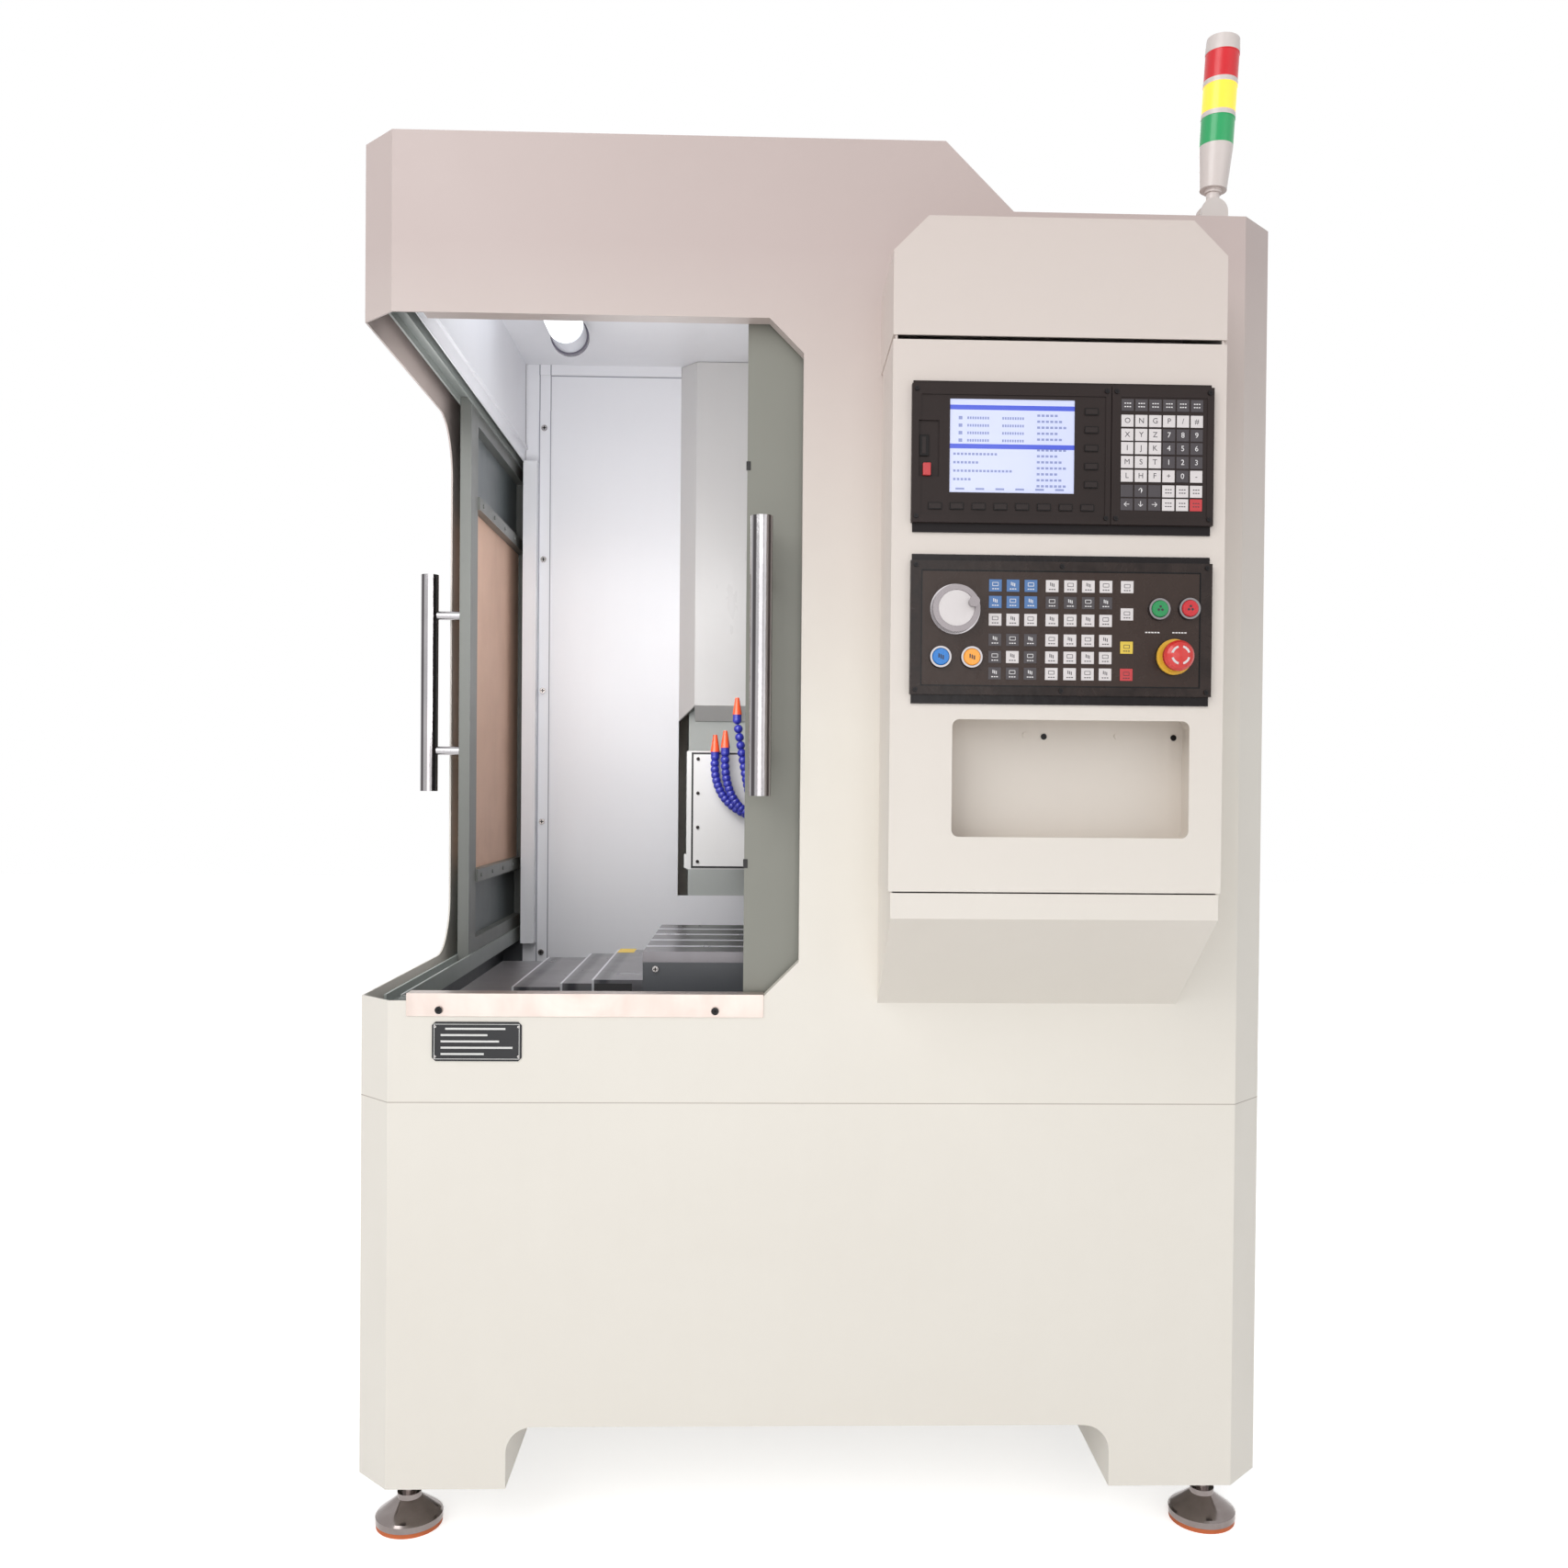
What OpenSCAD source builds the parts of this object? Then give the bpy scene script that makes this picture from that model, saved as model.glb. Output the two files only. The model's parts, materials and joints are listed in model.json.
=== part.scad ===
// Enclosed C-frame CNC milling machine. Millimetres, +Z up, front towards -Y.
// Lengths are laid out in the machine's own layout: x = 0 on the centre line of the
// cabinet, y = 0 on its front face and z = 0 on the floor.

/* [Cabinet] */
// Width of the cabinet over the side panels
body_w = 1340; // [1330:10:1400]
// Depth of the cabinet from front face to rear face
body_d = 1550; // [1540:10:1700]
// Height of the high part of the roof above the floor
body_h = 2056; // [2050:1:2100]
// Drop from the high part of the roof to the low part
roof_drop = 100; // [60:5:120]
// Start of the slope between the two parts of the roof, from the centre line
roof_slope_x = 178; // [120:2:200]
// Height of the joint between the stand and the upper cabinet
seam_z = 657; // [650:1:665]
// Gap between the floor and the stand
base_gap = 95; // [85:1:110]
// Bevel of the vertical front corners
corner_bevel = 52; // [40:2:60]
// Width of the flat front strip of each corner piece
corner_strip = 45; // [30:5:60]
// Thickness of the cabinet sheet
sheet = 3; // [2:0.5:4]

/* [Stand] */
// Half width of the forklift passage, left of the centre line
arch_left = 445; // [400:5:460]
// Half width of the forklift passage, right of the centre line
arch_right = 437; // [400:5:450]
// Height of the top of the forklift passage
arch_z = 185; // [150:5:190]
// Radius of the upper corners of the forklift passage
arch_r = 38; // [20:2:50]
// Thickness of the stand plates
plate = 5; // [4:0.5:6]

/* [Access openings] */
// Right edge of the front opening, from the centre line
open_right_x = -25; // [-35:1:-20]
// Top edge of the front opening
open_top_z = 1796; // [1780:1:1800]
// Bottom edge of the front opening
open_bottom_z = 814; // [810:1:820]
// Bevel of the right corners of the front opening
open_bevel = 50; // [30:2:60]
// Rear edge of the side opening, from the front face
side_open_y = 622; // [615:1:630]
// Bottom edge of the side opening
side_bottom_z = 805; // [800:1:810]
// Radius of the rear corners of the side opening
side_open_r = 100; // [60:5:120]
// Depth of the folded return round the openings
return_d = 28; // [20:1:30]

/* [Doors] */
// Width of the front door
front_door_w = 600; // [596:1:606]
// Length of the side door
side_door_l = 630; // [626:1:640]
// Thickness of both doors
door_t = 20; // [16:1:22]
// Place of the front door's left edge when it is open, from the centre line
front_door_x = -106; // [-110:1:-104]
// Place of the side door's front edge when it is open, from the front face
side_door_y = 548; // [546:1:552]
// Bottom of the doors
door_bottom_z = 792; // [788:1:796]
// Top of the doors
door_top_z = 1828; // [1824:1:1832]
// Width of the door frame members
stile = 62; // [50:2:70]
// Diameter of the handle tube
handle_dia = 32; // [28:1:34]
// Length of the handle tube
handle_l = 400; // [360:10:420]
// Distance between the two posts of a handle
handle_pitch = 250; // [220:10:260]
// Distance from the door face to the handle axis
handle_reach = 60; // [54:1:64]
// Height of the handle centre
handle_z = 1305; // [1280:5:1320]

/* [Chamber] */
// Place of the chamber back wall, from the front face
back_wall_y = 1031; // [1028:1:1040]
// Half width of the chamber at its linings
chamber_half_w = 571; // [569:1:580]
// Half width of the head opening in the back wall
head_open_half_w = 262; // [255:1:270]
// Bottom of the head opening in the back wall
head_open_z = 878; // [870:1:884]
// Top of the head opening in the back wall
head_open_top_z = 1261; // [1255:1:1300]
// Depth of the column cover in front of the back wall
cover_d = 44; // [38:1:48]
// Height of the floor of the chip tray
tray_z = 612; // [606:1:616]

// Diameter of the work light tube
lamp_dia = 68; // [50:2:72]

/* [Cross table] */
// Length of the table
table_l = 530; // [520:2:540]
// Depth of the table
table_w = 420; // [416:1:424]
// Thickness of the table slab
table_t = 45; // [42:1:48]
// Height of the table top
table_z = 858; // [856:1:860]
// Place of the table front edge at rest, from the front face
table_y = 166; // [164:1:168]
// Number of T-slots
slot_n = 4; // [3:1:5]
// Pitch of the T-slots
slot_pitch = 90; // [80:1:95]
// Throat width of the T-slots
slot_w = 14; // [12:1:14]
// Head width of the T-slots
slot_head_w = 25; // [22:1:26]
// Head height of the T-slots
slot_head_h = 10; // [8:1:12]
// Depth of the T-slots
slot_d = 24; // [20:1:26]
// Half length of the saddle over its cover brackets
saddle_half_l = 560; // [558:1:562]
// Height of the saddle top
saddle_top_z = 752; // [748:1:754]
// Height of the saddle bottom
saddle_bottom_z = 672; // [668:1:676]
// Height of the bed top
bed_top_z = 640; // [636:1:644]

/* [Way covers] */
// Thickness of the way cover sheet
cover_sheet = 2; // [1.5:0.5:2]
// Step between two nested way covers
cover_step = 7; // [6.5:0.5:7]
// Length of the way covers nested along the table
x_cover_l = 190; // [186:1:192]
// Length of the way cover fixed to the table end
x_cover_first_l = 80; // [76:1:82]
// Length of the way covers in front of the saddle
y_front_cover_l = 152; // [150:1:154]
// Length of the way covers behind the saddle
y_rear_cover_l = 180; // [176:1:190]

/* [Head] */
// Place of the spindle axis behind the front face
spindle_y = 575; // [570:1:580]
// Half width of the head cover
head_half_w = 212; // [206:1:216]
// Bottom of the head
head_z = 972; // [970:1:976]
// Height of the head cover
head_h = 208; // [200:2:210]
// Place of the head cover's front face
head_front_y = 425; // [420:1:430]
// Diameter of the spindle cartridge
spindle_dia = 120; // [110:2:130]
// Diameter of the bore in the spindle nose
collet_bore = 20; // [16:1:24]

/* [Column] */
// Width of the column
column_w = 380; // [360:10:400]
// Depth of the column
column_d = 270; // [250:10:280]
// Height of the column top above the floor
column_z = 1900; // [1880:10:1940]

/* [Control box] */
// Left side of the control box, from the centre line
box_x = 87; // [84:1:90]
// Width of the control box
box_w = 444; // [440:2:448]
// Depth of the control box in front of the cabinet
box_d = 182; // [176:2:190]
// Bottom of the control front panel
panel_z = 979; // [975:1:985]
// Height of the control front panel
panel_h = 731; // [728:1:734]
// Height of the hood above the control front panel
hood_h = 157; // [150:1:160]
// Bevel of the top corners of the hood
hood_bevel = 46; // [40:1:50]
// Reveal between the hood and the control front panel
hood_gap = 6; // [4:1:8]
// Upright front height of the chin
chin_front_h = 34; // [30:1:40]
// Height at which the chin meets the cabinet
chin_z = 805; // [790:5:815]

/* [Control units] */
// Left edge of the control units, from the centre line
unit_x = 112; // [110:1:114]
// Width of the control units
unit_w = 400; // [398:1:402]
// Bottom of the display and keypad units
display_z = 1456; // [1455:1:1460]
// Height of the display and keypad units
display_h = 199; // [196:1:201]
// Width of the display unit
display_w = 264; // [262:1:266]
// Bottom of the operator panel
operator_z = 1230; // [1228:1:1236]
// Height of the operator panel
operator_h = 197; // [191:1:199]
// Height of the mounting flange that shows below the display and above the operator panel
flange_h = 12; // [8:1:14]
// Thickness of the unit bezels
bezel_t = 9; // [7:1:11]
// Diameter of the push button bezels
button_dia = 30; // [28:0.5:31]
// Diameter of the emergency stop mushroom
mushroom_dia = 40; // [38:1:42]
// Diameter of the handwheel dial
dial_dia = 62; // [58:1:64]
// Width of the cut-out of the document pocket
pocket_w = 317; // [310:1:320]
// Height of the cut-out of the document pocket
pocket_h = 156; // [150:1:160]
// Bottom of the cut-out of the document pocket
pocket_z = 1054; // [1050:1:1058]
// Depth of the document pocket
pocket_d = 70; // [60:5:80]

/* [Feet and light] */
// Diameter of the levelling feet
foot_dia = 100; // [90:2:104]
// Diameter of the levelling studs
stud_dia = 20; // [16:1:24]
// Diameter of the light tower lenses
lens_dia = 50; // [46:1:52]
// Height of one light tower lens
lens_h = 42; // [36:1:44]
// Height of a ring between two lenses
lens_ring_h = 7; // [5:0.5:8]
// Height of the cone below the lenses
tower_cone_h = 64; // [50:1:70]
// Height of the cap on the lenses
tower_cap_h = 16; // [12:1:20]
// Place of the light tower axis, from the centre line
tower_x = 593; // [584:1:594]
// Place of the light tower axis behind the front face
tower_y = 80; // [76:2:100]
// Lean of the light tower to the right, in degrees
tower_lean = 3.3; // [0:0.1:4]

/* [Hidden] */
$fn = 48;

// Running gap between pieces that move past each other
gap = 0.5;
// Outer face of the side door
side_door_x = -637;
handle_post_dia = 16;
handle_left_x = side_door_x - handle_reach - handle_dia / 2;
knob_l = 26;
lock_h = 5;
rear_door_t = 22;
mushroom_h = 35;
face_y = -box_d - bezel_t + 1;
frame_x = -(handle_left_x + body_w / 2) / 2;
frame_y = -(face_y - mushroom_h + body_d + rear_door_t + lock_h) / 2;

half_w = body_w / 2;
bevel_x = half_w - corner_bevel;
strip_x = bevel_x - corner_strip;
fold = sheet * tan(22.5);
roof_low_z = body_h - roof_drop;
roof_slope_end = roof_slope_x + roof_drop;
corner_depth = corner_bevel + 60;
box_right = box_x + box_w;
panel_top = panel_z + panel_h;
hood_z = panel_top + hood_gap;
hood_top = hood_z + hood_h;
front_door_y = 35;

cream = [0.91, 0.89, 0.84];
lining_white = [0.93, 0.93, 0.95];
door_green = [0.6, 0.63, 0.58];
steel = [0.66, 0.66, 0.68];
dark_steel = [0.34, 0.33, 0.33];
bezel_brown = [0.2, 0.18, 0.18];
iron = [0.5, 0.52, 0.52];

// Moves what is laid out on the machine to the part's own origin on the floor
module machine() translate([frame_x, frame_y, 0]) children();

// Block between two bounds on each axis
module span(x, y, z)
    translate([x[0], y[0], z[0]])
        cube([x[1] - x[0], y[1] - y[0], z[1] - z[0]]);

// Plate of thickness t behind y, from an outline in x and z
module front_plate(y, t)
    translate([0, y + t, 0]) rotate([90, 0, 0]) linear_extrude(t) children();

// Plate of thickness t to the right of x, from an outline in y and z
module side_plate(x, t)
    translate([x, 0, 0]) rotate([90, 0, 90]) linear_extrude(t) children();

// Rectangle between two bounds with round corners
module round_rect(a, b, r) {
    translate([a[0] + r, a[1]]) square([b[0] - a[0] - 2 * r, b[1] - a[1]]);
    translate([a[0], a[1] + r]) square([b[0] - a[0], b[1] - a[1] - 2 * r]);
    for (x = [a[0] + r, b[0] - r], y = [a[1] + r, b[1] - r]) translate([x, y]) circle(r);
}

// Upright rod of diameter d and length h
module rod(d, h) cylinder(d = d, h = h);

// Rod that points to the front from a face at y
module front_rod(x, y, z, d, h) translate([x, y, z]) rotate([90, 0, 0]) cylinder(d = d, h = h);

// Round-headed screw whose head stands in front of a face at y
module front_screw(x, y, z, d) front_rod(x, y, z, d, d * 0.3);

// ---------------------------------------------------------------- stand

module stand_outline(inset) {
    x = half_w - inset;
    b = corner_bevel;
    polygon([
        [-x + b, inset], [x - b, inset], [x, b + inset], [x, body_d - inset],
        [-x, body_d - inset], [-x, b + inset]
    ]);
}

module arch_outline(grow) {
    r = arch_r + grow;
    translate([-arch_left - grow, base_gap - 1])
        square([arch_left + arch_right + 2 * grow, arch_z + grow - r - base_gap + 1]);
    translate([-arch_left - grow + r, arch_z + grow - r - 0.01])
        square([arch_left + arch_right + 2 * grow - 2 * r, r + 0.01]);
    for (x = [-arch_left - grow + r, arch_right + grow - r])
        translate([x, arch_z + grow - r]) circle(r);
}

foot_x = 605;
foot_y = [90, body_d - 90];
pad_z = base_gap + plate;

module base_stand() {
    color(cream) machine() difference() {
        union() {
            difference() {
                translate([0, 0, base_gap]) linear_extrude(seam_z - base_gap) stand_outline(0);
                translate([0, 0, base_gap - 1]) linear_extrude(seam_z) stand_outline(plate);
            }
            front_plate(plate, body_d - 2 * plate) arch_outline(plate);
            for (x = [-foot_x, foot_x], y = foot_y)
                span([x - 55, x + 55], [y - 60, y + 60], [base_gap, pad_z + 10]);
            for (s = [-1, 1])
                span([min(s * foot_x, s * 470), max(s * foot_x, s * 470)],
                     [plate, body_d - plate], [base_gap, pad_z]);
            span([-half_w + plate, half_w - plate], [body_d - 45, body_d - plate],
                 [seam_z - 40, seam_z - 35]);
        }
        front_plate(-1, body_d + 2) arch_outline(0);
        translate([0, 0, base_gap - 1]) linear_extrude(seam_z) difference() {
            square([4 * body_w, 4 * body_d], center = true);
            stand_outline(0);
        }
        for (x = [-foot_x, foot_x], y = foot_y)
            translate([x, y, base_gap - 1]) rod(stud_dia + 0.1, 40);
    }
}

// Four feet, each a turned disc on a threaded stud with its lock nut
module levelling_feet() {
    ring_h = 7;
    color(steel) machine() for (x = [-foot_x, foot_x], y = foot_y) translate([x, y, ring_h]) {
        rotate_extrude() polygon([
            [0, 0], [foot_dia / 2, 0], [foot_dia / 2, 9], [foot_dia / 2 - 3, 12],
            [18, 34], [18, 42], [stud_dia / 2, 42], [0, 42]
        ]);
        rod(stud_dia, pad_z + 40 - ring_h);
        translate([0, 0, base_gap - ring_h - 18]) cylinder(d = 34, h = 18, $fn = 6);
    }
}

// Rubber rings under the feet
module foot_rings() {
    color([0.85, 0.38, 0.2]) machine() for (x = [-foot_x, foot_x], y = foot_y)
        translate([x, y, 0]) rod(foot_dia - 2, 7);
}

// ---------------------------------------------------------------- bed and column

bed_half_w = 300;
bed_front_y = 70;
column_y = back_wall_y + 89;
y_rail_x = 200;
rail_w = 26;
y_rail_h = 30;

module machine_bed() {
    bed_bottom = arch_z + plate;
    color(iron) machine() {
        difference() {
            span([-bed_half_w, bed_half_w], [bed_front_y, column_y + column_d + 30],
                 [bed_bottom, bed_top_z]);
            for (i = [0:3], s = [-1, 1])
                span([s * 145 - 125, s * 145 + 125],
                     [bed_front_y + 30 + i * 335, bed_front_y + 335 + i * 335],
                     [bed_bottom - 1, bed_top_z - 60]);
            span([-120, 120], [bed_front_y + 60, column_y - 40], [bed_top_z - 30, bed_top_z + 1]);
        }
        for (s = [-1, 1])
            span([s * y_rail_x - rail_w / 2, s * y_rail_x + rail_w / 2],
                 [bed_front_y + 50, column_y - 20], [bed_top_z, bed_top_z + y_rail_h]);
        translate([0, bed_front_y + 40, bed_top_z - 2]) rotate([-90, 0, 0]) rod(32, 980);
        for (y = [bed_front_y + 30, column_y - 60])
            span([-40, 40], [y, y + 30], [bed_top_z - 30, bed_top_z + 25]);
    }
}

z_rail_x = 140;
z_rail_t = 28;

module column() {
    color(iron) machine() {
        difference() {
            span([-column_w / 2, column_w / 2], [column_y, column_y + column_d],
                 [bed_top_z, column_z]);
            span([-column_w / 2 + 35, column_w / 2 - 35],
                 [column_y + 30, column_y + column_d + 1], [bed_top_z + 120, column_z - 60]);
        }
        for (s = [-1, 1])
            span([s * z_rail_x - rail_w / 2, s * z_rail_x + rail_w / 2],
                 [column_y - z_rail_t, column_y], [900, column_z - 60]);
        translate([0, column_y - 24, 960]) rod(32, column_z - 1060);
        translate([0, column_y - 24, column_z - 100]) rod(60, 40);
        span([-65, 65], [column_y - 89 + 12, column_y], [column_z - 60, column_z - 30]);
        span([-60, 60], [column_y - 76, column_y + 44], [column_z - 30, column_z + 90]);
    }
}

// Pan under the work area with a raised slot for the bed ways
tray_half_w = chamber_half_w + 80;
way_half_w = 250;

module chip_tray() {
    tray_top = seam_z;
    color(steel) machine() difference() {
        span([-tray_half_w, tray_half_w], [62, back_wall_y + 40], [tray_z, open_bottom_z - 40]);
        span([-tray_half_w + 2, tray_half_w - 2], [64, back_wall_y + 38],
             [tray_z + 2, open_bottom_z]);
        span([-bed_half_w - 2, bed_half_w + 2], [60, back_wall_y + 60],
             [tray_z - 1, tray_z + 4]);
        span([-bed_half_w - 2, bed_half_w + 2], [back_wall_y + 30, back_wall_y + 60],
             [tray_z - 1, tray_top + 60]);
        span([-bed_half_w - 2, bed_half_w + 2], [61, 66], [tray_z - 1, bed_top_z + 1]);
    }
}

// ---------------------------------------------------------------- upper cabinet

// Sheet folded round one front corner, for the right side; sx = -1 mirrors it
module corner_sheet(sx, z, h) {
    b = corner_bevel;
    scale_x = sx < 0 ? 1 : 0;
    mirror([scale_x, 0, 0]) translate([0, 0, z]) linear_extrude(h) polygon([
        [strip_x, 0], [bevel_x, 0], [half_w, b], [half_w, corner_depth],
        [half_w - sheet, corner_depth], [half_w - sheet, b + fold],
        [bevel_x - fold, sheet], [strip_x, sheet]
    ]);
}

module opening_outline(grow) {
    k = grow * tan(22.5);
    x = open_right_x + grow;
    top = open_top_z + grow;
    low = open_bottom_z - grow;
    polygon([
        [-strip_x - 1, low], [x - open_bevel - k, low], [x, low + open_bevel + k],
        [x, top - open_bevel - k], [x - open_bevel - k, top], [-strip_x - 1, top]
    ]);
}

module front_fascia() {
    color(cream) machine() difference() {
        union() {
            front_plate(0, sheet) polygon([
                [-strip_x, seam_z], [strip_x, seam_z], [strip_x, roof_low_z],
                [roof_slope_end, roof_low_z], [roof_slope_x, body_h], [-strip_x, body_h]
            ]);
            intersection() {
                front_plate(0, return_d) opening_outline(sheet);
                span([-strip_x, half_w], [0, return_d], [seam_z, body_h]);
            }
        }
        front_plate(-1, return_d + 2) opening_outline(0);
    }
}

module left_corners() {
    color(cream) machine() {
        corner_sheet(-1, open_top_z, body_h - open_top_z);
        corner_sheet(-1, seam_z, side_bottom_z - seam_z);
    }
}

module right_corner() {
    color(cream) machine() corner_sheet(1, seam_z, roof_low_z - seam_z);
}

module left_side_panel() {
    r = side_open_r;
    color(cream) machine() side_plate(-half_w, sheet) difference() {
        translate([corner_depth, seam_z])
            square([body_d - sheet - corner_depth, body_h - seam_z]);
        translate([0, side_bottom_z])
            square([side_open_y - r, open_top_z - side_bottom_z]);
        translate([0, side_bottom_z + r])
            square([side_open_y, open_top_z - side_bottom_z - 2 * r]);
        for (z = [side_bottom_z + r, open_top_z - r])
            translate([side_open_y - r, z]) circle(r);
    }
}

// Row of narrow ventilation slots in a plate's outline
module slots(x, z, n, w, pitch) {
    for (i = [0:n - 1]) translate([x, z + i * pitch]) round_rect([0, 0], [w, 8], 3.9);
}

module right_side_panel() {
    color(cream) machine() side_plate(half_w - sheet, sheet) difference() {
        translate([corner_depth, seam_z])
            square([body_d - sheet - corner_depth, roof_low_z - seam_z]);
        slots(1180, 1600, 8, 180, 24);
        slots(1180, 760, 8, 180, 24);
    }
}

rear_door_half_w = 430;
rear_door_z = [720, 1860];
hinge_dia = 14;

module rear_panel() {
    color(cream) machine() {
        front_plate(body_d - sheet, sheet) difference() {
            polygon([
                [-half_w, seam_z], [half_w, seam_z], [half_w, roof_low_z],
                [roof_slope_end, roof_low_z], [roof_slope_x, body_h], [-half_w, body_h]
            ]);
            translate([-rear_door_half_w + 12, rear_door_z[0] + 12])
                square([2 * rear_door_half_w - 24, rear_door_z[1] - rear_door_z[0] - 24]);
        }
        for (z = [900, 1290, 1680]) translate([-rear_door_half_w - 9, body_d + 8, z])
            difference() {
                union() {
                    rod(hinge_dia, 40);
                    span([-25, 0], [-8, -4], [0, 40]);
                    span([-4, 4], [-8, 0], [0, 40]);
                }
                translate([0, 0, -1]) rod(6.1, 42);
            }
        for (s = [-1, 1]) span([min(s * 418, s * 421), max(s * 418, s * 421)],
                               [column_y + column_d + 31, body_d - sheet], [700, 1880]);
        span([-418, 418], [column_y + column_d + 31, column_y + column_d + 34], [700, 1880]);
    }
}

module rear_door() {
    w = rear_door_half_w;
    z = rear_door_z;
    color(cream) machine() {
        difference() {
            span([-w, w], [body_d + gap, body_d + rear_door_t], [z[0], z[1]]);
            span([-w + 2, w - 2], [body_d, body_d + rear_door_t - 2], [z[0] + 2, z[1] - 2]);
            front_plate(body_d + rear_door_t - 3, 4) {
                slots(-260, 1560, 9, 520, 22);
                slots(-260, 800, 9, 520, 22);
            }
        }
        for (k = [940.5, 1330.5, 1720.5]) translate([-w - 9, body_d + 8, k]) {
            rod(hinge_dia, 30);
            translate([0, 0, -40]) rod(6, 41);
            span([0, 10], [-2, 2], [0, 30]);
        }
        for (k = [1000, 1560]) translate([w - 35, body_d + rear_door_t, k])
            rotate([-90, 0, 0]) rod(24, lock_h);
    }
}

module roof_line(drop, left, right) {
    polygon([
        [left, body_h - drop], [roof_slope_x - drop * 0.414, body_h - drop],
        [roof_slope_end - drop * 0.414, roof_low_z - drop], [right, roof_low_z - drop],
        [right, roof_low_z - drop - 2], [roof_slope_end - drop * 0.414 - 0.8, roof_low_z - drop - 2],
        [roof_slope_x - drop * 0.414 - 0.8, body_h - drop - 2], [left, body_h - drop - 2]
    ]);
}

module roof() {
    color(cream) machine() intersection() {
        front_plate(sheet, body_d - 2 * sheet)
            roof_line(0, -half_w + sheet, half_w - sheet);
        linear_extrude(3000) stand_outline(sheet + 0.2);
    }
}

ceiling_drop = 20;
lining_x = 600;

module ceiling() {
    color(lining_white) machine() front_plate(return_d + 2, back_wall_y - return_d - 2)
        roof_line(ceiling_drop, -lining_x, chamber_half_w);
}

ceiling_z = body_h - ceiling_drop - 2;
low_ceiling_z = roof_low_z - ceiling_drop - 2;
strip_w = 29;
way_slot_z = 722;

module back_wall() {
    color(lining_white) machine() {
        front_plate(back_wall_y, 2) difference() {
                polygon([
                    [-lining_x, tray_z + 4], [chamber_half_w, tray_z + 4],
                    [chamber_half_w, low_ceiling_z], [roof_slope_end - 14, low_ceiling_z],
                    [roof_slope_x - 14, ceiling_z], [-lining_x, ceiling_z]
                ]);
                polygon([
                    [-head_open_half_w, head_open_z], [head_open_half_w, head_open_z],
                    [head_open_half_w, head_open_top_z], [head_open_half_w - 40, 1950],
                    [-head_open_half_w + 40, 1950], [-head_open_half_w, head_open_top_z]
                ]);
                translate([-way_half_w, tray_z]) square([2 * way_half_w, way_slot_z - tray_z]);
                translate([-bed_half_w - 2, tray_z])
                    square([2 * bed_half_w + 4, bed_top_z + 2 - tray_z]);
            }
        for (x = [-chamber_half_w, chamber_half_w - strip_w]) {
            span([x, x + strip_w], [back_wall_y - 3, back_wall_y], [tray_z + 40, low_ceiling_z]);
            for (i = [0:4])
                front_screw(x + 12, back_wall_y - 3, 752 + i * (low_ceiling_z - 790) / 4, 13);
        }
        span([-chamber_half_w, -head_open_half_w],
             [back_wall_y - 3, back_wall_y], [ceiling_z - 22, ceiling_z]);
    }
}

// Upper left lining with its folded lip over the door rail, corner post and right lining
module side_linings() {
    lip_z = [1819, 1848];
    y0 = front_door_y + door_t + 6;
    color(lining_white) machine() {
        span([-lining_x - 2, -lining_x], [y0, back_wall_y - 4], [lip_z[0], ceiling_z]);
        span([-lining_x - 2, -lining_x + 6], [y0, back_wall_y - 4],
             [lip_z[1], lip_z[1] + 3]);
        span([-lining_x, -chamber_half_w], [back_wall_y - 30, back_wall_y - 28],
             [open_bottom_z - 40, lip_z[0]]);
        span([-chamber_half_w - 2, -chamber_half_w], [back_wall_y - 30, back_wall_y],
             [open_bottom_z - 40, lip_z[0]]);
        span([chamber_half_w, chamber_half_w + 2], [return_d + 30, back_wall_y],
             [open_bottom_z - 40, low_ceiling_z]);
    }
}

// Fixed sheet cover over the upper part of the column
module column_cover() {
    y = back_wall_y;
    d = cover_d;
    w = head_open_half_w;
    top = ceiling_z - 1;
    color([0.9, 0.89, 0.89]) machine() {
        intersection() {
            translate([0, 0, head_open_top_z]) linear_extrude(top - head_open_top_z) polygon([
                [-w, y], [-w + 36, y - d], [w - 36, y - d], [w, y], [w - 2.5, y],
                [w - 37, y - d + 2], [-w + 37, y - d + 2], [-w + 2.5, y]
            ]);
            side_plate(-w, 2 * w) polygon([
                [y, head_open_top_z], [y, top], [y - d, top], [y - d, head_open_top_z + 32]
            ]);
            front_plate(y - d - 1, d + 2) polygon([
                [-w, 1000], [w, 1000], [w, low_ceiling_z - 1],
                [roof_slope_end - 20, low_ceiling_z - 1], [roof_slope_x - 20, top], [-w, top]
            ]);
        }
        side_plate(-w + 36, 2 * w - 72) polygon([
            [y, head_open_top_z], [y, head_open_top_z + 2],
            [y - d + 2, head_open_top_z + 34], [y - d, head_open_top_z + 32]
        ]);
    }
}

// Tubular work light along the ceiling with its two saddles
module work_light() {
    lamp_x = -462;
    lamp_y = [260, 731];
    lamp_r = lamp_dia / 2;
    color([0.92, 0.93, 0.95]) machine() {
        translate([lamp_x, lamp_y[0], ceiling_z - lamp_r - 4]) rotate([-90, 0, 0])
            rod(lamp_dia, lamp_y[1] - lamp_y[0]);
        translate([lamp_x, lamp_y[1] - 20, ceiling_z - lamp_r - 4]) rotate([-90, 0, 0])
            rod(lamp_dia + 7, 14);
        for (y = [330, 640])
            span([lamp_x - 12, lamp_x + 12], [y, y + 24], [ceiling_z - lamp_r, ceiling_z]);
    }
}

// ---------------------------------------------------------------- doors

rail_gap = 0.3;

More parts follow.
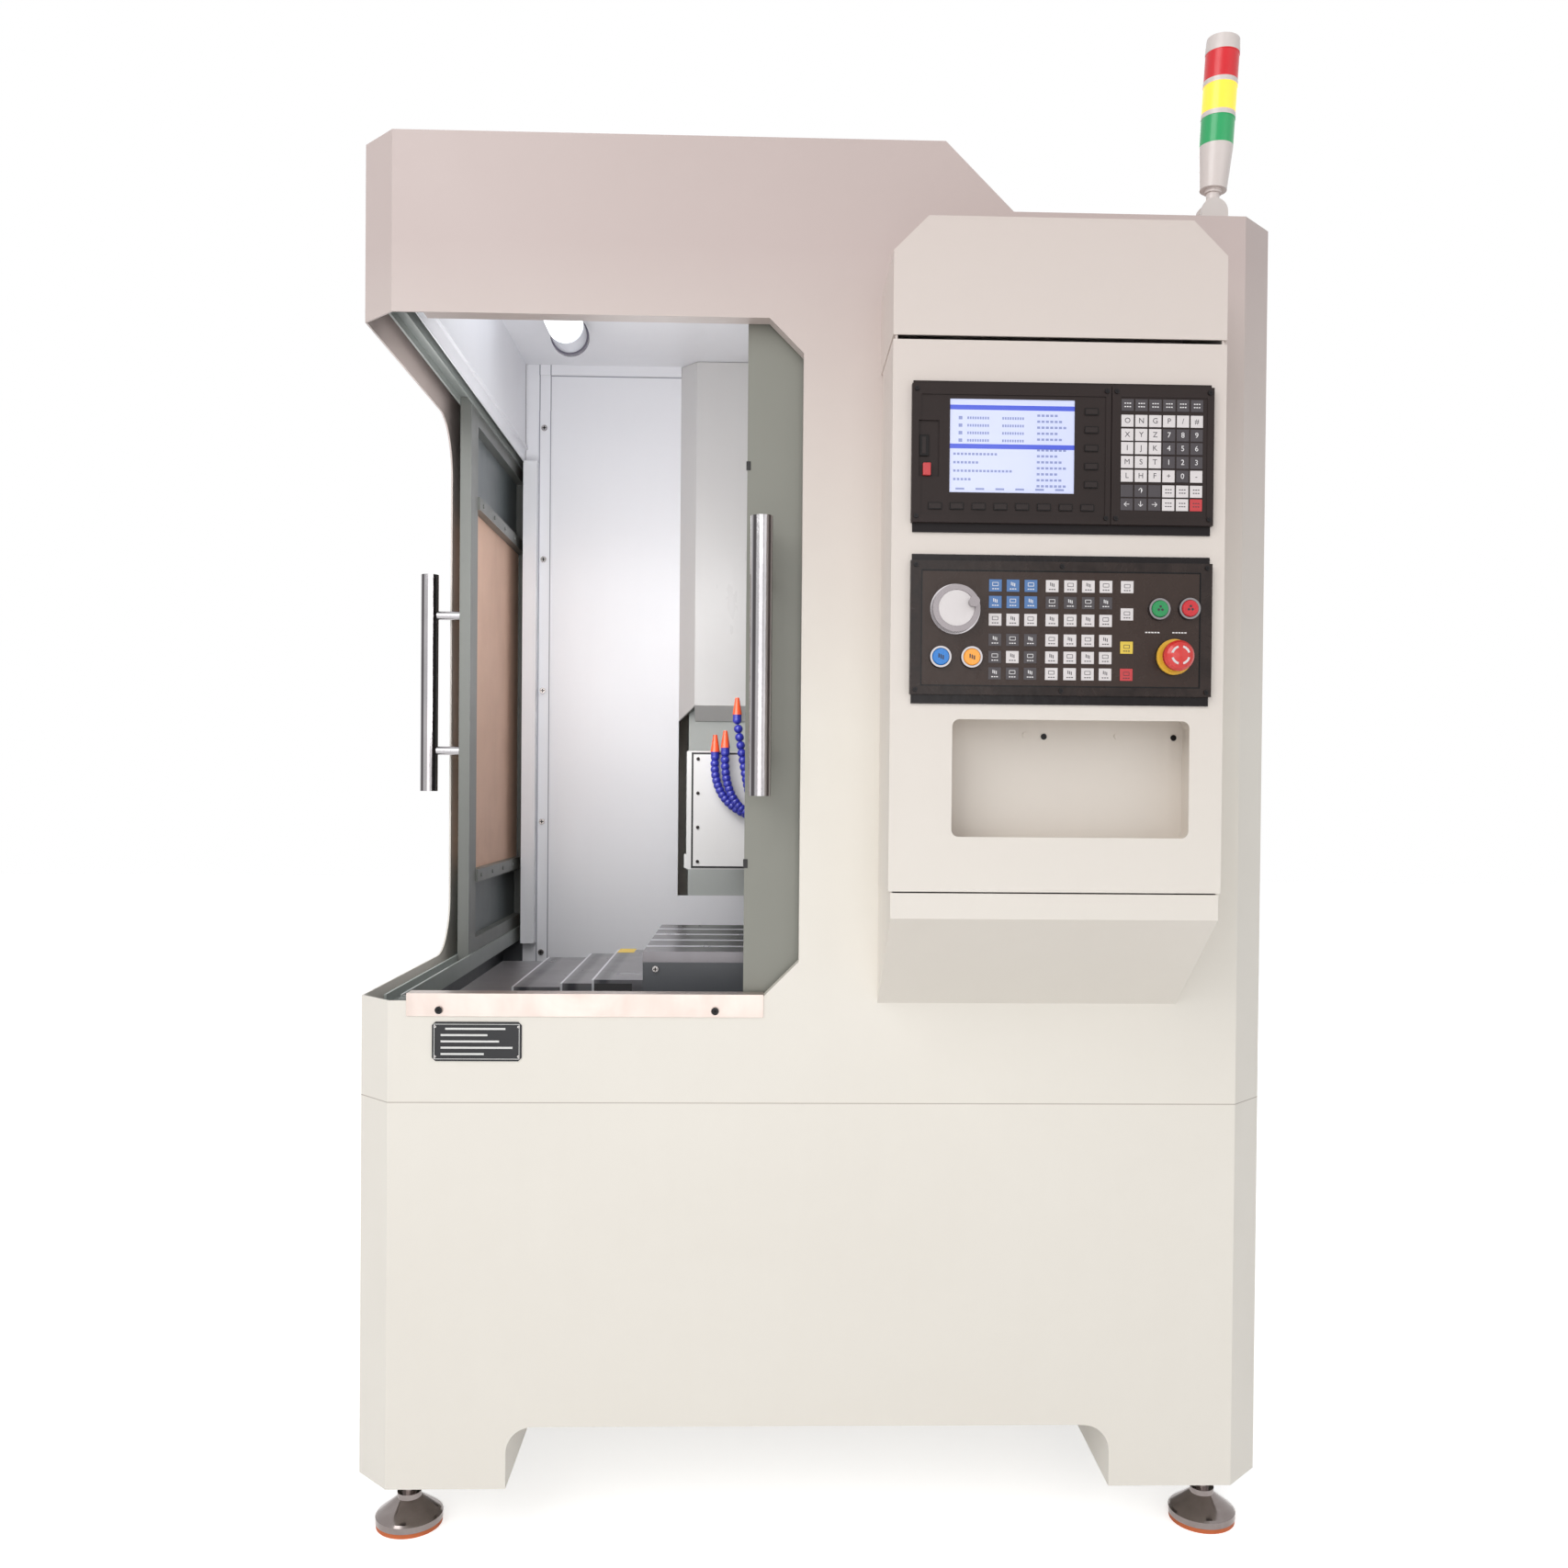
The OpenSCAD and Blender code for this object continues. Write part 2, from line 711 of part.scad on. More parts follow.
// Channel rails above and below both doors, carried by the cabinet
module door_rails() {
    fy = front_door_y;
    sx = side_door_x;
    color(steel) machine() {
        for (z = [door_top_z - 12, door_bottom_z - 18]) {
            low = z < 1000 ? z : z + 12 + rail_gap;
            span([-half_w + 60, front_door_x + front_door_w + 8], [fy - 4, fy - rail_gap],
                 [z, z + 30]);
            span([-half_w + 60, front_door_x + front_door_w + 8],
                 [fy + door_t + rail_gap, fy + door_t + 4], [z, z + 30]);
            span([-half_w + 60, front_door_x + front_door_w + 8], [fy - 4, fy + door_t + 4],
                 [low, low + 16.5]);
            span([sx - 4, sx - rail_gap], [66, body_d - 300], [z, z + 30]);
            span([sx + door_t + rail_gap, sx + door_t + 4], [66, body_d - 300], [z, z + 30]);
            span([sx - 4, sx + door_t + 4], [66, body_d - 300], [low, low + 16.5]);
        }
        for (y = [700, body_d - 304])
            span([sx - 30, sx - 4], [y, y + 4], [door_top_z - 12, door_top_z + 18]);
        for (x = [0, 400])
            span([x, x + 30], [sheet, fy - 4], [door_top_z - 4, door_top_z + 16]);
        for (x = [0, 400])
            span([x, x + 30], [sheet, fy - 4], [door_bottom_z - 16, door_bottom_z + 4]);
        for (y = [700, body_d - 304])
            span([sx - 30, sx - 4], [y, y + 4], [door_bottom_z - 18, door_bottom_z + 12]);
    }
}

// Flat grey front door with a folded frame behind it
module front_door() {
    x = front_door_x;
    y = front_door_y;
    color(door_green) machine() difference() {
        span([x, x + front_door_w], [y, y + door_t], [door_bottom_z, door_top_z]);
        span([x + stile, x + front_door_w - stile], [y + 2, y + door_t + 1],
             [door_bottom_z + stile, door_top_z - stile]);
        for (z = [-1, 1]) translate([x + 22, y - 1, handle_z + z * handle_pitch / 2])
            rotate([-90, 0, 0]) rod(6, 6);
    }
}

// Pull handle: a tube on two posts; it stands in front of the face at y = 0
module pull_handle() {
    translate([0, -handle_reach, -handle_l / 2]) difference() {
        rod(handle_dia, handle_l);
        for (z = [-1, handle_l - 11]) translate([0, 0, z]) rod(handle_dia - 4, 12);
    }
    for (z = [-1, 1]) translate([0, 0, z * handle_pitch / 2]) rotate([90, 0, 0]) {
        rod(handle_post_dia, handle_reach - handle_dia / 2 + 2);
        rod(22, 3);
    }
}

module front_door_handle() {
    color(steel) machine() translate([front_door_x + 22, front_door_y, handle_z]) pull_handle();
}

module side_door_handle() {
    color(steel) machine() translate([side_door_x, side_door_y + 26, handle_z])
        rotate([0, 0, -90]) pull_handle();
}

window_z = [958, 1634];

module side_door() {
    x = side_door_x;
    y = side_door_y;
    l = side_door_l;
    color(door_green) machine() {
        difference() {
            span([x, x + door_t], [y, y + l], [door_bottom_z, door_top_z]);
            side_plate(x - 1, door_t + 2)
                translate([y + stile + 24, window_z[0] + 8])
                    square([l - 2 * stile - 48, window_z[1] - window_z[0] - 16]);
            side_plate(x + 3, door_t)
                translate([y + stile, door_bottom_z + 38])
                    square([l - 2 * stile, door_top_z - door_bottom_z - 76]);
        }
        for (z = [window_z[0] - 24, window_z[1]])
            span([x + 3, x + door_t + 4], [y + stile, y + l - stile], [z, z + 24]);
        for (z = [window_z[0] - 24, window_z[1]], k = [0:4])
            translate([x + door_t + 4, y + stile + 30 + k * (l - 2 * stile - 60) / 4, z + 12])
                rotate([0, 90, 0]) rod(8, 2);
    }
}

// Clear pane of the side door under its brown protective paper
module side_door_window() {
    x = side_door_x + 3;
    color([0.8, 0.64, 0.56]) machine()
        span([x, x + 5], [side_door_y + stile, side_door_y + side_door_l - stile],
             [window_z[0], window_z[1]]);
}

// Stainless cover over the sill of the front opening
module sill_trim() {
    x = [-bevel_x + 27, open_right_x - open_bevel - 1];
    color(steel) machine() {
        span(x, [-2, 0], [783, open_bottom_z + 2]);
        span(x, [-2, return_d], [open_bottom_z, open_bottom_z + 2]);
        for (k = [x[0] + 47, x[1] - 70]) front_screw(k, -2, 792, 11);
    }
}

// ---------------------------------------------------------------- control box

module hood_outline(inset) {
    b = hood_bevel - inset * 0.414;
    l = box_x + inset;
    r = box_right - inset;
    t = hood_top - inset;
    polygon([
        [l, hood_z], [r, hood_z], [r, t - b], [r - b, t], [l + b, t], [l, t - b]
    ]);
}

module control_hood() {
    color(cream) machine() difference() {
        front_plate(-box_d, box_d) hood_outline(0);
        front_plate(-box_d + sheet, box_d) {
            hood_outline(sheet);
            translate([box_x + sheet, hood_z - 1]) square([box_w - 2 * sheet, 2]);
        }
    }
}

module box_profile(inset) {
    polygon([
        [-box_d + inset, panel_z - chin_front_h + inset * 0.5], [-box_d + inset, panel_top + 30],
        [0, panel_top + 30], [0, chin_z + inset]
    ]);
}

// Side walls, back and chin of the control box below the hood
module control_housing() {
    t = sheet;
    color(cream) machine() difference() {
        union() {
            side_plate(box_x + t, box_w - 2 * t) difference() {
                box_profile(0);
                translate([-box_d - 1, panel_z]) square([box_d + 2, 900]);
            }
            for (x = [box_x + t, box_right - 2 * t]) side_plate(x, t) difference() {
                box_profile(0);
                translate([-box_d - 1, panel_z - 1]) square([1 + t, 900]);
            }
        }
        side_plate(box_x + 2 * t, box_w - 4 * t) difference() {
            box_profile(t);
            translate([-box_d, 0]) square([box_d + 1, 700]);
        }
    }
}

corner_r = 10;
pocket_x = 170;

module control_panel() {
    color(cream) machine() difference() {
        union() {
            front_plate(-box_d, sheet) difference() {
                translate([box_x, panel_z + 2]) square([box_w, panel_h - 2]);
                round_open(0);
                translate([unit_x + 14, display_z + 14])
                    square([unit_w - 28, display_h - 28]);
                translate([unit_x + 14, operator_z + 14])
                    square([unit_w - 28, operator_h - 28]);
            }
            for (x = [box_x, box_right - sheet])
                span([x, x + sheet], [-box_d, -30], [panel_z + 2, panel_top]);
        }
    }
}

module round_open(grow) {
    translate([pocket_x, pocket_z])
        round_rect([-grow, -grow], [pocket_w + grow, pocket_h + grow], corner_r + grow);
}

// Folded tray behind the cut-out, with two screws near its top
module document_pocket() {
    y = -box_d + sheet;
    color([0.88, 0.86, 0.84]) machine() {
        difference() {
            front_plate(y, pocket_d) round_open(14);
            front_plate(y - 1, pocket_d - 1) round_open(12);
        }
        for (x = [0.35, 0.75])
            front_screw(pocket_x + x * pocket_w, y + pocket_d - 2, pocket_z + pocket_h - 18, 8);
    }
}

unit_y = -box_d;
flange_edge = 5;
lcd_w = 165;
lcd_h = 123;
lcd_x = unit_x + 50;
lcd_z = display_z + 52;
display_face = [display_z + flange_h, display_z + display_h - flange_edge];
operator_face = [operator_z + flange_h, operator_z + operator_h - flange_h + 3];
flange_x = [unit_x + 2, unit_x + unit_w - 2];

// Mounting flange behind the bezels, which shows above and below them
module unit_flange(z) {
    span(flange_x, [unit_y - 3, unit_y], [z[0], z[1]]);
}

// Row of flat keys standing in the recess of the display unit
module soft_key(x, z) {
    front_plate(unit_y - bezel_t, 3) translate([x, z]) round_rect([0, 0], [18, 9], 2);
}

module display_unit() {
    z = display_face;
    color(bezel_brown) machine() {
        difference() {
            front_plate(unit_y - bezel_t, bezel_t) difference() {
                translate([unit_x, z[0]]) square([display_w - 1, z[1] - z[0]]);
                translate([lcd_x, lcd_z]) square([lcd_w, lcd_h]);
            }
            front_plate(unit_y - bezel_t - 1, 2.5)
                translate([unit_x + 12, z[0] + 10])
                    square([display_w - 20, z[1] - z[0] - 24]);
            span([unit_x + 9, unit_x + 36], [unit_y - bezel_t - 1, unit_y - bezel_t + 4],
                 [display_z + 72, display_z + 146]);
        }
        span([unit_x + 15, unit_x + unit_w - 15], [unit_y, unit_y + 60],
             [display_z + 15, display_z + display_h - 15]);
        unit_flange([display_z, z[0]]);
        unit_flange([z[1], display_z + display_h]);
        for (k = [0:4]) soft_key(unit_x + 228, display_z + 59.5 + k * 24);
        for (k = [0:7]) soft_key(unit_x + 22 + k * 28.8, display_z + 29);
        for (x = [6, display_w - 7], m = [z[0] + 8, z[1] - 7])
            front_screw(unit_x + x, unit_y - bezel_t, m, 6);
    }
}

module display_screen() {
    color([0.8, 0.88, 0.95]) machine() front_plate(unit_y - 6, 6)
        translate([lcd_x, lcd_z]) square([lcd_w, lcd_h]);
}

module keypad_unit() {
    x = [unit_x + display_w, unit_x + unit_w];
    z = display_face;
    color(bezel_brown) machine() {
        difference() {
            span(x, [unit_y - bezel_t, unit_y], z);
            span([x[0] + 12, x[1] - 9], [unit_y - bezel_t - 1, unit_y - bezel_t + 1],
                 [z[0] + 9, z[1] - 14]);
        }
        for (k = [x[0] + 6, x[1] - 6], m = [z[0] + 8, z[1] - 7])
            front_screw(k, unit_y - bezel_t, m, 6);
    }
}

module operator_panel() {
    z = operator_face;
    color(bezel_brown) machine() {
        difference() {
            span([unit_x, unit_x + unit_w], [unit_y - bezel_t, unit_y], z);
            span([unit_x + 15, unit_x + unit_w - 16],
                 [unit_y - bezel_t - 1, unit_y - bezel_t + 1], [z[0] + 12, z[1] - 13]);
            for (p = button_places) translate([p[0], unit_y + 61, p[1]])
                rotate([90, 0, 0]) rod(button_dia - 6, 80);
            translate([stop_place[0], unit_y + 61, stop_place[1]])
                rotate([90, 0, 0]) rod(18, 80);
            translate([dial_place[0], unit_y + 61, dial_place[1]])
                rotate([90, 0, 0]) rod(10.1, 80);
        }
        unit_flange([operator_z, z[0]]);
        unit_flange([z[1], operator_z + operator_h]);
        for (x = [7, unit_w / 2, unit_w - 7], m = [z[0] + 6, z[1] - 6])
            front_screw(unit_x + x, unit_y - bezel_t, m, 6);
    }
}

button_places = [[152, 1291], [193, 1291], [441, 1357], [481, 1358]];
stop_place = [461, 1294];
dial_place = [171, 1354];
button_travel = 2.5;

// Chrome button bezels, the collar of the stop button and the dial's fixed ring
module button_bezels() {
    color(steel) machine() {
        for (p = button_places) translate([p[0], face_y, p[1]]) rotate([90, 0, 0])
            difference() {
                cylinder(d1 = button_dia, d2 = button_dia - 2, h = 7);
                translate([0, 0, -1]) rod(button_dia - 7, 20);
            }
        translate([stop_place[0], face_y, stop_place[1]]) rotate([90, 0, 0]) difference() {
            rod(button_dia + 14, 4);
            translate([0, 0, -1]) rod(18, 20);
        }
        translate([dial_place[0], face_y, dial_place[1]]) rotate([90, 0, 0]) difference() {
            rod(dial_dia + 4, 3);
            translate([0, 0, -1]) rod(12, 20);
        }
    }
}

// Round push button on its plunger
module push_button(place, tint) {
    color(tint) machine() translate([place[0], face_y, place[1]]) rotate([90, 0, 0]) {
        translate([0, 0, -12]) rod(button_dia - 8, 20);
        translate([0, 0, 8]) cylinder(d1 = button_dia - 8, d2 = button_dia - 10, h = 1.5);
    }
}

module button_blue() push_button(button_places[0], [0.1, 0.38, 0.75]);

module button_orange() push_button(button_places[1], [0.95, 0.5, 0.1]);

module button_green() push_button(button_places[2], [0.1, 0.6, 0.25]);

module button_red() push_button(button_places[3], [0.75, 0.1, 0.15]);

// Mushroom head of the emergency stop on its shaft
module stop_mushroom() {
    d = mushroom_dia;
    color([0.88, 0.15, 0.12]) machine() translate([stop_place[0], face_y, stop_place[1]])
        rotate([90, 0, 0]) rotate_extrude() polygon([
            [0, -12], [8.5, -12], [8.5, 12], [13, 14], [d / 2, 20], [d / 2, 27],
            [d / 2 - 3, 31], [d / 2 - 9, mushroom_h - 1], [0, mushroom_h]
        ]);
}

// Dial of the electronic handwheel with its finger knob
module handwheel_dial() {
    color([0.88, 0.88, 0.88]) machine() translate([dial_place[0], face_y, dial_place[1]])
        rotate([90, 0, 0]) {
            translate([0, 0, -10]) rod(10, 14);
            difference() {
                translate([0, 0, 3.5]) rod(dial_dia, 12);
                translate([0, 0, 14]) rod(dial_dia - 14, 3);
            }
            translate([21, 7, 14]) cylinder(d1 = 12, d2 = 14, h = knob_l - 9);
        }
}

module nameplate() {
    x = [-554, -425];
    z = [718, 775];
    c = 5;
    color([0.1, 0.1, 0.1]) machine() {
        front_plate(-1.5, 1.5) polygon([
            [x[0] + c, z[0]], [x[1] - c, z[0]], [x[1], z[0] + c], [x[1], z[1] - c],
            [x[1] - c, z[1]], [x[0] + c, z[1]], [x[0], z[1] - c], [x[0], z[0] + c]
        ]);
        for (k = [x[0] + 4.5, x[1] - 4.5], m = [z[0] + 7, z[1] - 7]) front_screw(k, -1.5, m, 3.5);
    }
}

// ---------------------------------------------------------------- light tower

tower_pivot_z = roof_low_z + 34;

module tower_bracket() {
    x = tower_x;
    y = tower_y;
    color([0.86, 0.84, 0.82]) machine() {
        translate([x, y, roof_low_z]) rod(64, 6);
        for (s = [-1, 1]) translate([x, y + s * 14 - 3, 0]) difference() {
            union() {
                span([-20, 20], [0, 6], [roof_low_z + 6, tower_pivot_z]);
                translate([0, 6, tower_pivot_z]) rotate([90, 0, 0]) rod(40, 6);
            }
            translate([0, 7, tower_pivot_z]) rotate([90, 0, 0]) rod(10, 8);
        }
        translate([x, y + 17, tower_pivot_z]) rotate([90, 0, 0]) rod(10, 34);
    }
}

module light_tower() {
    d = lens_dia;
    pitch = lens_h + lens_ring_h;
    cone_z = 37;
    lens_z = cone_z + tower_cone_h;
    color([0.9, 0.88, 0.87]) machine() translate([tower_x, tower_y, tower_pivot_z])
        rotate([0, tower_lean, 0]) {
            difference() {
                union() {
                    translate([0, 10.5, 0]) rotate([90, 0, 0]) rod(34, 21);
                    rod(20, cone_z - 3);
                }
                translate([0, 12, 0]) rotate([90, 0, 0]) rod(10.1, 24);
            }
            translate([0, 0, cone_z - 5]) rod(26, 5);
            translate([0, 0, cone_z]) cylinder(d1 = d - 10, d2 = d, h = tower_cone_h);
            for (i = [0:2]) translate([0, 0, lens_z + i * pitch]) {
                rod(d, lens_h);
                translate([0, 0, lens_h]) rod(d + 1, lens_ring_h);
            }
            translate([0, 0, lens_z + 3 * pitch]) cylinder(d1 = d + 1, d2 = d - 1, h = tower_cap_h);
        }
}

// ---------------------------------------------------------------- cross table

table_mid_y = table_y + table_w / 2;
table_bottom_z = table_z - table_t;
saddle_y = [table_mid_y - 140, table_mid_y + 140];
x_rail_y = 105;
x_rail_w = 20;
x_rail_h = 20;
carriage_half_l = 140;
bracket_t = 4;

module saddle() {
    y = saddle_y;
    color(iron) machine() {
        difference() {
            span([-saddle_half_l + bracket_t, saddle_half_l - bracket_t], y,
                 [saddle_bottom_z, saddle_top_z]);
            for (s = [-1, 1])
                span([s * 390 - 140, s * 390 + 140], [y[0] + 25, y[1] - 25],
                     [saddle_bottom_z - 1, saddle_top_z - 30]);
            translate([-saddle_half_l, table_mid_y, saddle_top_z]) rotate([0, 90, 0])
                rod(44, 2 * saddle_half_l);
        }
        for (s = [-1, 1]) {
            span([-saddle_half_l + 20, saddle_half_l - 20],
                 [table_mid_y + s * x_rail_y - x_rail_w / 2,
                  table_mid_y + s * x_rail_y + x_rail_w / 2],
                 [saddle_top_z, saddle_top_z + x_rail_h]);
            span([s * (saddle_half_l - bracket_t / 2) - bracket_t / 2,
                  s * (saddle_half_l - bracket_t / 2) + bracket_t / 2],
                 [table_y + 24, table_y + table_w - 4], [saddle_bottom_z + 42, saddle_top_z + 34]);
            for (y = [saddle_y[0], saddle_y[1] - 90]) difference() {
                span([s * y_rail_x - 13, s * y_rail_x + 13] + [-12, 12], [y, y + 90],
                     [bed_top_z + 2, saddle_bottom_z]);
                span([s * y_rail_x - 13, s * y_rail_x + 13] + [-gap, gap], [y - 1, y + 91],
                     [bed_top_z, bed_top_z + y_rail_h + gap]);
            }
        }
        translate([-saddle_half_l + 2, table_mid_y, saddle_top_z + 2]) rotate([0, 90, 0])
            rod(25, 2 * saddle_half_l - 4);
    }
}

// Slotted table on its carriage
module table() {
    x = [-table_l / 2, table_l / 2];
    y0 = table_mid_y - (slot_n - 1) * slot_pitch / 2;
    color([0.62, 0.62, 0.63]) machine() {
        difference() {
            union() {
                span(x, [table_y, table_y + table_w], [table_bottom_z, table_z]);
                span([-carriage_half_l, carriage_half_l],
                     [table_mid_y - x_rail_y - 26, table_mid_y + x_rail_y + 26],
                     [saddle_top_z + 3, table_bottom_z]);
            }
            for (i = [0:slot_n - 1], w = [[slot_w, slot_d], [slot_head_w, slot_head_h]])
                span([x[0] - 1, x[1] + 1],
                     [y0 + i * slot_pitch - w[0] / 2, y0 + i * slot_pitch + w[0] / 2],
                     [table_z - slot_d, table_z - slot_d + (w[0] == slot_w ? slot_d + 1 : w[1])]);
            for (s = [-x_rail_y, x_rail_y])
                span([-carriage_half_l - 1, carriage_half_l + 1],
                     [table_mid_y + s - x_rail_w / 2 - gap, table_mid_y + s + x_rail_w / 2 + gap],
                     [saddle_top_z, saddle_top_z + x_rail_h + gap]);
            span([-carriage_half_l - 1, carriage_half_l + 1], [table_mid_y - 20, table_mid_y + 20],
                 [saddle_top_z, saddle_top_z + 18]);
        }
    }
}

// Bolted plates along the front and back of the table
module table_guard() {
    z = [745, table_z - 17];
    color(dark_steel) machine() {
        span([-table_l / 2, table_l / 2], [table_y - 3, table_y], z);
        span([-table_l / 2, table_l / 2], [table_y + table_w, table_y + table_w + 3],
             [table_bottom_z + 1, z[1]]);
        for (x = [-table_l / 2 + 20, -70, 70, table_l / 2 - 20])
            front_screw(x, table_y - 3, z[1] - 10, 10);
    }
}

// Outline of the k-th nested cover along the table, grown inwards by the sheet
module x_cover_outline(k, inset) {
    d = k * cover_step + inset;
    y0 = table_y + 2 + d;
    y1 = table_y + table_w + 20 - d;
    top = table_bottom_z - d;
    b = 38 - 0.586 * d;
    polygon([
        [y0, saddle_top_z - 38], [y0, top], [y1 - b, top], [y1, top - b],
        [y1, saddle_top_z - 38]
    ]);
}

// One folded cover from x = a over length l, with a rim at its outer end
module x_cover(k, a, l) {
    difference() {
        side_plate(a, l) x_cover_outline(k, 0);
        translate([0, 0, -1]) side_plate(a - 1, l + 2) x_cover_outline(k, cover_sheet);
    }
    difference() {
        side_plate(a, 6) x_cover_outline(k, 0.5);
        translate([0, 0, -1]) side_plate(a - 1, 8) x_cover_outline(k, cover_step - 1);
    }
}

// Shares of the free way that the three lower covers on each side leave open
x_shares = [0.235, 0.36, 0.405];
x_free = saddle_half_l - table_l / 2 - x_cover_first_l;
x_outer = -table_l / 2 - x_cover_first_l;

// The k-th cover on both sides of the table
module x_cover_pair(k, a, l) {
    color(dark_steel) machine() {
        x_cover(k, a, l);
        mirror([1, 0, 0]) x_cover(k, a, l);
    }
}

module x_covers_outer() x_cover_pair(0, x_outer, x_cover_first_l + 10);

module x_covers_upper() x_cover_pair(1, x_outer - x_shares[0] * x_free, x_cover_l);

module x_covers_lower()
    x_cover_pair(2, x_outer - (x_shares[0] + x_shares[1]) * x_free, x_cover_l);

module x_covers_fixed() x_cover_pair(3, -saddle_half_l + bracket_t, x_cover_l - bracket_t);

y_front_end = bed_front_y + 2;
y_rear_end = column_y - 12;
y_front_open = (saddle_y[0] - y_front_end - y_front_cover_l) / 3;
y_rear_open = (y_rear_end - saddle_y[1] - y_rear_cover_l) / 3;

// One folded cover over the bed ways, k-th of the nest, from y over length l
module y_cover(k, y, l) {
    w = 238 - k * cover_step;
    top = 706 - k * cover_step;
    difference() {
        span([-w, w], [y, y + l], [bed_top_z + 0.3, top]);
        span([-w + cover_sheet, w - cover_sheet], [y - 1, y + l + 1],
             [bed_top_z, top - cover_sheet]);
    }
}

// The k-th covers in front of and behind the saddle
module y_cover_pair(k) {
    color(dark_steel) machine() {
        y_cover(k, saddle_y[0] - y_front_cover_l - k * y_front_open, y_front_cover_l);
        y_cover(k, saddle_y[1] + k * y_rear_open, y_rear_cover_l);
    }
}

module y_covers_outer() y_cover_pair(0);

module y_covers_upper() y_cover_pair(1);

module y_covers_lower() y_cover_pair(2);

module y_covers_fixed() {
    y_cover_pair(3);
    color(dark_steel) machine() for (y = [y_front_end, y_rear_end - 3], s = [-1, 1])
        span([s * 232 - 17, s * 232 + 17], [y, y + 3], [bed_top_z, bed_top_z + 40]);
}

// ---------------------------------------------------------------- head

head_back_y = 980;
arm_top_z = 1092;
plate_y = [column_y - z_rail_t - 42, column_y - 2];
cover_back_y = 655;

module head() {
    y0 = head_front_y + 20;
    color(iron) machine() difference() {
        union() {
            span([-170, 170], [y0, cover_back_y - 10], [head_z + 12, head_z + head_h - 14]);
            span([-150, 150], [y0, plate_y[0]], [head_z + 12, arm_top_z]);
            span([-175, 175], plate_y, [head_z, 1420]);
            span([-240, 240], [back_wall_y + 5, back_wall_y + 8], [800, 1330]);
            translate([0, spindle_y, head_z - 45]) rod(spindle_dia, 100);
            for (s = [-1, 1])
                span([s * 170 - 19, s * 170 + 19], [y0 + 20, y0 + 60],
                     [head_z + 60, head_z + 100]);
        }
        translate([0, spindle_y, 0]) {
            rod(60.1, head_z + 140);
            rod(40, 2000);
        }
        for (s = [-1, 1])
            span([s * z_rail_x - rail_w / 2 - gap, s * z_rail_x + rail_w / 2 + gap],
                 [column_y - z_rail_t - gap, column_y + 1], [head_z - 1, 1421]);
        translate([0, column_y - 24, head_z - 1]) rod(60, 450);
        span([-30, 30], [column_y - 24, column_y], [head_z - 1, 1421]);
    }
}

// White sheet housing round the head with its screwed front cover
module head_cover() {
    w = head_half_w;
    y = [head_front_y, cover_back_y];
    z = [head_z, head_z + head_h];
    color([0.92, 0.91, 0.9]) machine() {
        difference() {
            span([-w, w], y, z);
            span([-w + sheet, w - sheet], [y[0] + sheet, y[1] + 1], [z[0] + sheet, z[1] - sheet]);
            translate([0, spindle_y, head_z - 1]) rod(spindle_dia + 0.2, 10);
            translate([0, spindle_y, z[1] - 5]) rod(150, 10);
        }
        span([-w + 12, w - 12], [y[0] - 4, y[0]], [z[0] + 6, z[1] - 6]);
        for (s = [-1, 1], k = [0:3])
            front_screw(s * (w - 20), y[0] - 4, z[0] + 14 + k * (head_h - 28) / 3, 6);
        span([-w - 4, -w], [y[0] + 4, y[0] + 24], [z[0] + 2, z[0] + 26]);
    }
}

module spindle_motor() {
    z = head_z + head_h - 14;
    color([0.2, 0.2, 0.21]) machine() translate([0, spindle_y, z]) {
        rod(140, 16);
        translate([-65, -65, 16]) cube([130, 130, 150]);
        translate([0, 0, -30]) rod(30, 31);
    }
}

// Turning spindle with its collet nose
module spindle() {
    color(steel) machine() translate([0, spindle_y, head_z - 65]) difference() {
        union() {
            rod(60, 150);
            translate([0, 0, -8]) cylinder(d1 = 44, d2 = 58, h = 8);
        }
        translate([0, 0, -9]) rod(collet_bore, 60);
    }
}

// Point at share t of a curve from a to c that is drawn towards b
function bend(a, b, c, t) = (1 - t) * (1 - t) * a + 2 * t * (1 - t) * b + t * t * c;

hose_root = [-88, head_front_y - 22, head_z + 92];
// For each hose: the pull of its bend, the place of its nozzle and its number of beads
hoses = [
    [[-80, -2, 20], [-74, 6, 105], 15],
    [[-60, -10, 20], [-56, -6, 112], 15],
    [[-15, 2, 20], [-36, 2, 170], 19]
];
bead_dia = 15.5;

// Segmented coolant hoses with their nozzles on a manifold block
module coolant_hoses() {
    color([0.15, 0.15, 0.6]) machine() {
        translate(hose_root + [-14, 0, -14]) cube([60, 18, 30]);
        for (h = hoses) {
            a = hose_root;
            b = hose_root + h[0];
            c = hose_root + h[1];
            for (i = [0:h[2]]) translate(bend(a, b, c, i / h[2])) sphere(d = bead_dia);
            translate(c) {
                cylinder(d = 15, h = 9);
                translate([0, 0, 9]) cylinder(d1 = 17, d2 = 7, h = 30);
            }
        }
    }
}

base_stand();
levelling_feet();
foot_rings();
machine_bed();
column();
chip_tray();
front_fascia();
left_corners();
right_corner();
left_side_panel();
right_side_panel();
rear_panel();
rear_door();
roof();
ceiling();
back_wall();
side_linings();
column_cover();
door_rails();
sill_trim();
control_hood();
control_housing();
control_panel();
document_pocket();
display_unit();
display_screen();
keypad_unit();
operator_panel();
button_bezels();
handwheel_dial();
button_blue();
button_orange();
button_green();
button_red();
stop_mushroom();
nameplate();
work_light();
tower_bracket();
light_tower();
front_door();
front_door_handle();
side_door();
side_door_window();
side_door_handle();
saddle();
table();
table_guard();
x_covers_outer();
x_covers_upper();
x_covers_lower();
x_covers_fixed();
y_covers_outer();
y_covers_upper();
y_covers_lower();
y_covers_fixed();
head();
head_cover();
spindle_motor();
spindle();
coolant_hoses();
